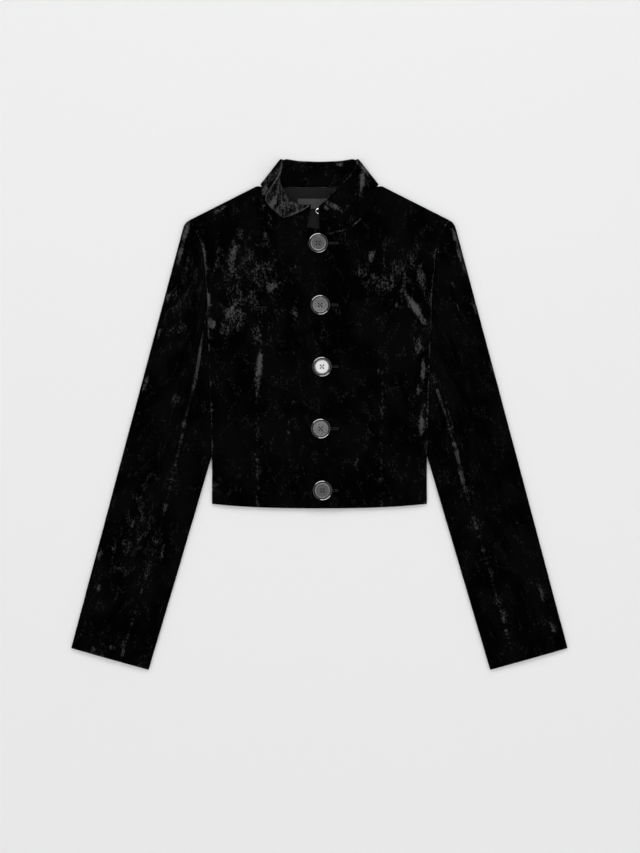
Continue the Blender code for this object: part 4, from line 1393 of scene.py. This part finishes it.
def velvet_material(look):
    """Crushed velvet: the pile group on the cloth's own directions and painted nap sheen, under a soft sheen.
    """
    name = "crushed_velvet"
    if name in bpy.data.materials:
        return bpy.data.materials[name]
    constants = {"Specular IOR Level": look.gloss, "Sheen Weight": look.sheen, **SHEEN}
    made, tree, shader = new_material(name, constants)
    # The nap value paints the sheen of laid-over pile into the base colour
    nap = add_node(tree, "ShaderNodeAttribute", attribute_name="nap").outputs["Fac"]
    colours = {"Black": rgba(look.black), "Standing": rgba(look.standing), "Crushed": rgba(look.crushed)}
    pile = use_group(tree, "crushed_pile", {"Place": cloth_place(tree), "Nap": nap, **colours})
    feed(tree, shader, {"Base Color": pile.outputs["Colour"], "Roughness": pile.outputs["Roughness"]})
    bump(tree, shader, pile.outputs["Height"], *PILE_BUMP)
    return made


def woven_material(name, dark, light, threads, roughness):
    """Woven cloth from the weave group, on the piece's own UV map."""
    made, tree, shader = new_material(name, {"Roughness": roughness, "Specular IOR Level": WEAVE_GLOSS})
    inputs = {"Place": cloth_place(tree), "Threads": threads, "Dark": dark, "Light": light}
    weave = use_group(tree, "fine_weave", inputs)
    feed(tree, shader, {"Base Color": weave.outputs["Colour"]})
    bump(tree, shader, weave.outputs["Height"], *WEAVE_BUMP)
    return made


def metal_material(name, metal, rubbed, rim=None):
    """Polished metal from the worn metal group, on Object coordinates, with a dark rim where one is given."""
    made, tree, shader = new_material(name, {"Metallic": 1.0})
    inputs = {"Place": object_place(tree), "Metal": metal, "Rubbed": rubbed}
    worn = use_group(tree, "worn_metal", inputs)
    colour = worn.outputs["Colour"]
    if rim:
        on_rim = add_node(tree, "ShaderNodeAttribute", attribute_name="rim").outputs["Fac"]
        colour = blend(tree, on_rim, colour, rim)
    feed(tree, shader, {"Base Color": colour, "Roughness": worn.outputs["Roughness"]})
    return made


def thread_material(name, colour):
    """Sewing thread: plies as a fine wave along the piece, and a soft shine."""
    made, tree, shader = new_material(name, THREAD_SHINE)
    inputs = {"Vector": object_place(tree), **THREAD_PLIES}
    plies = add_node(tree, "ShaderNodeTexWave", inputs, bands_direction="DIAGONAL").outputs["Fac"]
    feed(tree, shader, {"Base Color": blend(tree, plies, rgba(colour, THREAD_DARK), rgba(colour))})
    bump(tree, shader, plies, *THREAD_BUMP)
    return made


def table_material(colour):
    """The pale table: an even matt tone with a trace of noise."""
    made, tree, shader = new_material("pale_table", TABLE_SHINE)
    tone = noise(tree, object_place(tree), *TABLE_NOISE, "3D")
    feed(tree, shader, {"Base Color": blend(tree, tone, rgba(colour, TABLE_DARK), rgba(colour))})
    return made


def make_table(colour):
    """A wide flat table under the jacket."""
    mesh = bpy.data.meshes.new("table_top")
    ends = (-TABLE_REACH, TABLE_REACH)
    corners = [(x, y, TABLE_LEVEL) for y in ends for x in ends]
    mesh.from_pydata(corners, [], [(0, 1, 3, 2)])
    mesh.materials.append(table_material(colour))
    table = bpy.data.objects.new("table_top", mesh)
    bpy.context.scene.collection.objects.link(table)


def make_light(name, place, size, power, on_cloth):
    """A soft light that faces the middle of the jacket, and lights cloth or only shows in shiny pieces."""
    data = bpy.data.lights.new(name, "AREA")
    data.shape = "RECTANGLE"
    data.size, data.size_y = size
    data.energy = power
    light = bpy.data.objects.new(name, data)
    bpy.context.scene.collection.objects.link(light)
    light.location = place
    light.visible_diffuse = on_cloth
    toward = -np.array(place)
    toward = toward / np.linalg.norm(toward)
    pitch = math.acos(-toward[2])
    light.rotation_euler = (pitch, 0.0, math.atan2(toward[1], toward[0]) - math.pi / 2.0)


def make_sky(strength, overhead):
    """Soft light from above: dim near the table, full half way up, weaker straight overhead at the camera.

    The camera itself sees an even pale backdrop.
    """
    world = bpy.data.worlds.new("studio_light")
    world.use_nodes = True
    tree = world.node_tree
    background = tree.nodes["Background"]
    direction = add_node(tree, "ShaderNodeTexCoord").outputs["Generated"]
    height = add_node(tree, "ShaderNodeSeparateXYZ", {0: direction}).outputs["Z"]
    rise = maths(tree, "MULTIPLY", spread(tree, height, *SKY_RISE), 1.0 - SKY_LOW)
    rise = maths(tree, "ADD", SKY_LOW, rise)
    drop = maths(tree, "MULTIPLY", spread(tree, height, *SKY_OVERHEAD), overhead - 1.0)
    level = maths(tree, "MULTIPLY", rise, maths(tree, "ADD", drop, 1.0))
    level = maths(tree, "MULTIPLY", level, strength)
    seen = add_node(tree, "ShaderNodeLightPath").outputs["Is Camera Ray"]
    shown = add_node(tree, "ShaderNodeMix", {0: seen, 2: level, 3: BACKDROP}).outputs[0]
    tree.links.new(shown, background.inputs["Strength"])
    background.inputs["Color"].default_value = (1.0, 1.0, 1.0, 1.0)
    bpy.context.scene.world = world


def make_camera(height):
    """A camera straight above the photo's middle, whose long side takes in the photo's height."""
    data = bpy.data.cameras.new("overhead_camera")
    data.sensor_width = SENSOR
    data.lens = SENSOR * height / VIEW_HEIGHT
    data.clip_end = VIEW_END
    camera = bpy.data.objects.new("overhead_camera", data)
    bpy.context.scene.collection.objects.link(camera)
    camera.location = (*VIEW_MIDDLE, height + FRONT_LAY)
    bpy.context.scene.camera = camera


class JacketCut(bpy.types.PropertyGroup):
    """Sizes of the cloth's surface."""

    crush_depth: bpy.props.FloatProperty(
        name="Crush depth",
        description="How far the crushed pile is pressed down",
        default=0.0006,
        min=0.0,
        max=0.001,
        unit="LENGTH",
    )


class VelvetLook(bpy.types.PropertyGroup):
    """Colours and shine of the velvet."""

    black: bpy.props.FloatVectorProperty(
        name="Deep pile",
        description="Colour of the pile where it is deepest",
        subtype="COLOR",
        default=(0.0004, 0.0004, 0.0004),
    )
    standing: bpy.props.FloatVectorProperty(
        name="Standing pile",
        description="Colour of the pile where it stands up",
        subtype="COLOR",
        default=(0.0020, 0.0020, 0.0020),
    )
    # Painted sheen: the grey of the pile where it is laid over
    crushed: bpy.props.FloatVectorProperty(
        name="Crushed pile",
        description="Colour of the pile where it is laid over",
        subtype="COLOR",
        default=(0.066, 0.065, 0.066),
    )
    gloss: bpy.props.FloatProperty(
        name="Gloss",
        description="Strength of the plain reflection",
        default=0.002,
        subtype="FACTOR",
    )
    sheen: bpy.props.FloatProperty(
        name="Sheen",
        description="Strength of the glow at grazing angles",
        default=0.04,
        subtype="FACTOR",
    )


class TrimLook(bpy.types.PropertyGroup):
    """Colours of the lining, label, buttons, eye and thread."""

    lining: bpy.props.FloatVectorProperty(
        name="Lining",
        description="Colour of the neck lining",
        subtype="COLOR",
        default=(0.0086, 0.0083, 0.0085),
    )
    label: bpy.props.FloatVectorProperty(
        name="Label",
        description="Colour of the blank label",
        subtype="COLOR",
        default=(0.058, 0.055, 0.055),
    )
    button: bpy.props.FloatVectorProperty(
        name="Button",
        description="Colour of the button metal",
        subtype="COLOR",
        default=(0.30, 0.30, 0.305),
    )
    rim: bpy.props.FloatVectorProperty(
        name="Rim",
        description="Colour of the buttons' dark rim",
        subtype="COLOR",
        default=(0.055, 0.055, 0.056),
    )
    eye: bpy.props.FloatVectorProperty(
        name="Eye",
        description="Colour of the wire eye",
        subtype="COLOR",
        default=(0.75, 0.75, 0.76),
    )
    thread: bpy.props.FloatVectorProperty(
        name="Thread",
        description="Colour of the sewing thread",
        subtype="COLOR",
        default=(0.060, 0.060, 0.060),
    )
    buttonhole: bpy.props.FloatVectorProperty(
        name="Buttonhole",
        description="Colour of the buttonhole thread",
        subtype="COLOR",
        default=(0.010, 0.010, 0.010),
    )


class StudioLook(bpy.types.PropertyGroup):
    """Table, lights and camera."""

    table: bpy.props.FloatVectorProperty(
        name="Table",
        description="Colour of the table",
        subtype="COLOR",
        default=(0.905, 0.905, 0.905),
    )
    sky: bpy.props.FloatProperty(
        name="Sky",
        description="Strength of the light from above",
        default=1.04,
        subtype="FACTOR",
    )
    overhead: bpy.props.FloatProperty(
        name="Overhead",
        description="Share of that light straight overhead",
        default=0.30,
        subtype="FACTOR",
    )
    key: bpy.props.FloatProperty(
        name="Key light",
        description="Power of the soft light at the collar end",
        default=11.0,
        unit="POWER",
    )
    strips: bpy.props.FloatProperty(
        name="Strips",
        description="Power of each strip that shows in the buttons",
        default=100.0,
        unit="POWER",
    )
    spot: bpy.props.FloatProperty(
        name="Spot",
        description="Power of the small light that the third button mirrors",
        default=0.75,
        unit="POWER",
    )
    camera_height: bpy.props.FloatProperty(
        name="Camera height",
        description="Height of the camera over the cloth",
        default=3.0,
        unit="LENGTH",
    )


class JACKET_OT_body(bpy.types.Operator):
    """Makes the velvet back and fronts"""

    bl_idname = "jacket.body"
    bl_label = "Body"

    def execute(self, context):
        cut = context.scene.jacket_cut
        velvet = velvet_material(context.scene.jacket_velvet)
        make_back(cut, velvet)
        make_front("front_right", -1.0, front_height, cut, velvet)
        make_front("front_left", 1.0, top_front_height, cut, velvet)
        return {"FINISHED"}


class JACKET_OT_sleeves(bpy.types.Operator):
    """Makes the four velvet pieces of the sleeves"""

    bl_idname = "jacket.sleeves"
    bl_label = "Sleeves"

    def execute(self, context):
        cut = context.scene.jacket_cut
        velvet = velvet_material(context.scene.jacket_velvet)
        make_sleeve("left", 1.0, cut, velvet)
        make_sleeve("right", -1.0, cut, velvet)
        return {"FINISHED"}


class JACKET_OT_collar(bpy.types.Operator):
    """Makes the velvet collar and its wire eye"""

    bl_idname = "jacket.collar"
    bl_label = "Collar"

    def execute(self, context):
        trim = context.scene.jacket_trim
        make_collar(context.scene.jacket_cut, velvet_material(context.scene.jacket_velvet))
        make_eye(metal_material("polished_eye", rgba(trim.eye), rgba(trim.eye, EYE_DARK)))
        return {"FINISHED"}


class JACKET_OT_neck(bpy.types.Operator):
    """Makes the neck lining and the blank label"""

    bl_idname = "jacket.neck"
    bl_label = "Neck lining and label"

    def execute(self, context):
        trim = context.scene.jacket_trim
        dark = rgba(trim.lining, LINING_DARK)
        make_facing(woven_material("satin_lining", dark, rgba(trim.lining), *LINING_WEAVE))
        dark = rgba(trim.label, LABEL_DARK)
        light = rgba(trim.label, LABEL_LIGHT)
        label = woven_material("woven_label", dark, light, *LABEL_WEAVE)
        make_label(label, thread_material("label_thread", trim.label))
        return {"FINISHED"}


class JACKET_OT_buttons(bpy.types.Operator):
    """Makes the turned buttons, their thread and the stitched buttonholes"""

    bl_idname = "jacket.buttons"
    bl_label = "Buttons"

    def execute(self, context):
        trim = context.scene.jacket_trim
        dark = rgba(trim.button, BUTTON_DARK)
        metal = metal_material("gunmetal", dark, rgba(trim.button), rgba(trim.rim))
        make_buttons(metal, thread_material("button_thread", trim.thread))
        make_buttonholes(thread_material("buttonhole_thread", trim.buttonhole))
        return {"FINISHED"}


class JACKET_OT_stage(bpy.types.Operator):
    """Makes the pale table, the soft lights and the overhead camera"""

    bl_idname = "jacket.stage"
    bl_label = "Stage"

    def execute(self, context):
        studio = context.scene.jacket_studio
        context.scene.view_settings.view_transform = "Standard"
        make_table(studio.table)
        make_sky(studio.sky, studio.overhead)
        for name, place, size, setting, on_cloth in LIGHTS:
            make_light(name, place, size, getattr(studio, setting), on_cloth)
        make_camera(studio.camera_height)
        return {"FINISHED"}


OPERATORS = (
    JACKET_OT_body,
    JACKET_OT_sleeves,
    JACKET_OT_collar,
    JACKET_OT_neck,
    JACKET_OT_buttons,
    JACKET_OT_stage,
)


class JACKET_PT_panel(bpy.types.Panel):
    """Lists the jacket's pieces and settings"""

    bl_idname = "JACKET_PT_panel"
    bl_label = "Velvet jacket"
    bl_space_type = "VIEW_3D"
    bl_region_type = "UI"
    bl_category = "Jacket"

    def draw(self, context):
        for operator in OPERATORS:
            self.layout.operator(operator.bl_idname)
        for settings in SETTINGS:
            group = getattr(context.scene, settings)
            for name in group.__annotations__:
                self.layout.prop(group, name)


SETTINGS = {
    "jacket_cut": JacketCut,
    "jacket_velvet": VelvetLook,
    "jacket_trim": TrimLook,
    "jacket_studio": StudioLook,
}
CLASSES = (*SETTINGS.values(), *OPERATORS, JACKET_PT_panel)


def register():
    """Registers the classes and hangs the settings on the scene."""
    for each in CLASSES:
        bpy.utils.register_class(each)
    for name, group in SETTINGS.items():
        setattr(bpy.types.Scene, name, bpy.props.PointerProperty(type=group))


def unregister():
    """Takes the settings off the scene and unregisters the classes."""
    for name in SETTINGS:
        delattr(bpy.types.Scene, name)
    for each in reversed(CLASSES):
        bpy.utils.unregister_class(each)


def main():
    """Makes every piece in order."""
    register()
    bpy.ops.jacket.body()
    bpy.ops.jacket.sleeves()
    bpy.ops.jacket.collar()
    bpy.ops.jacket.neck()
    bpy.ops.jacket.buttons()
    bpy.ops.jacket.stage()


if __name__ == "__main__":
    main()
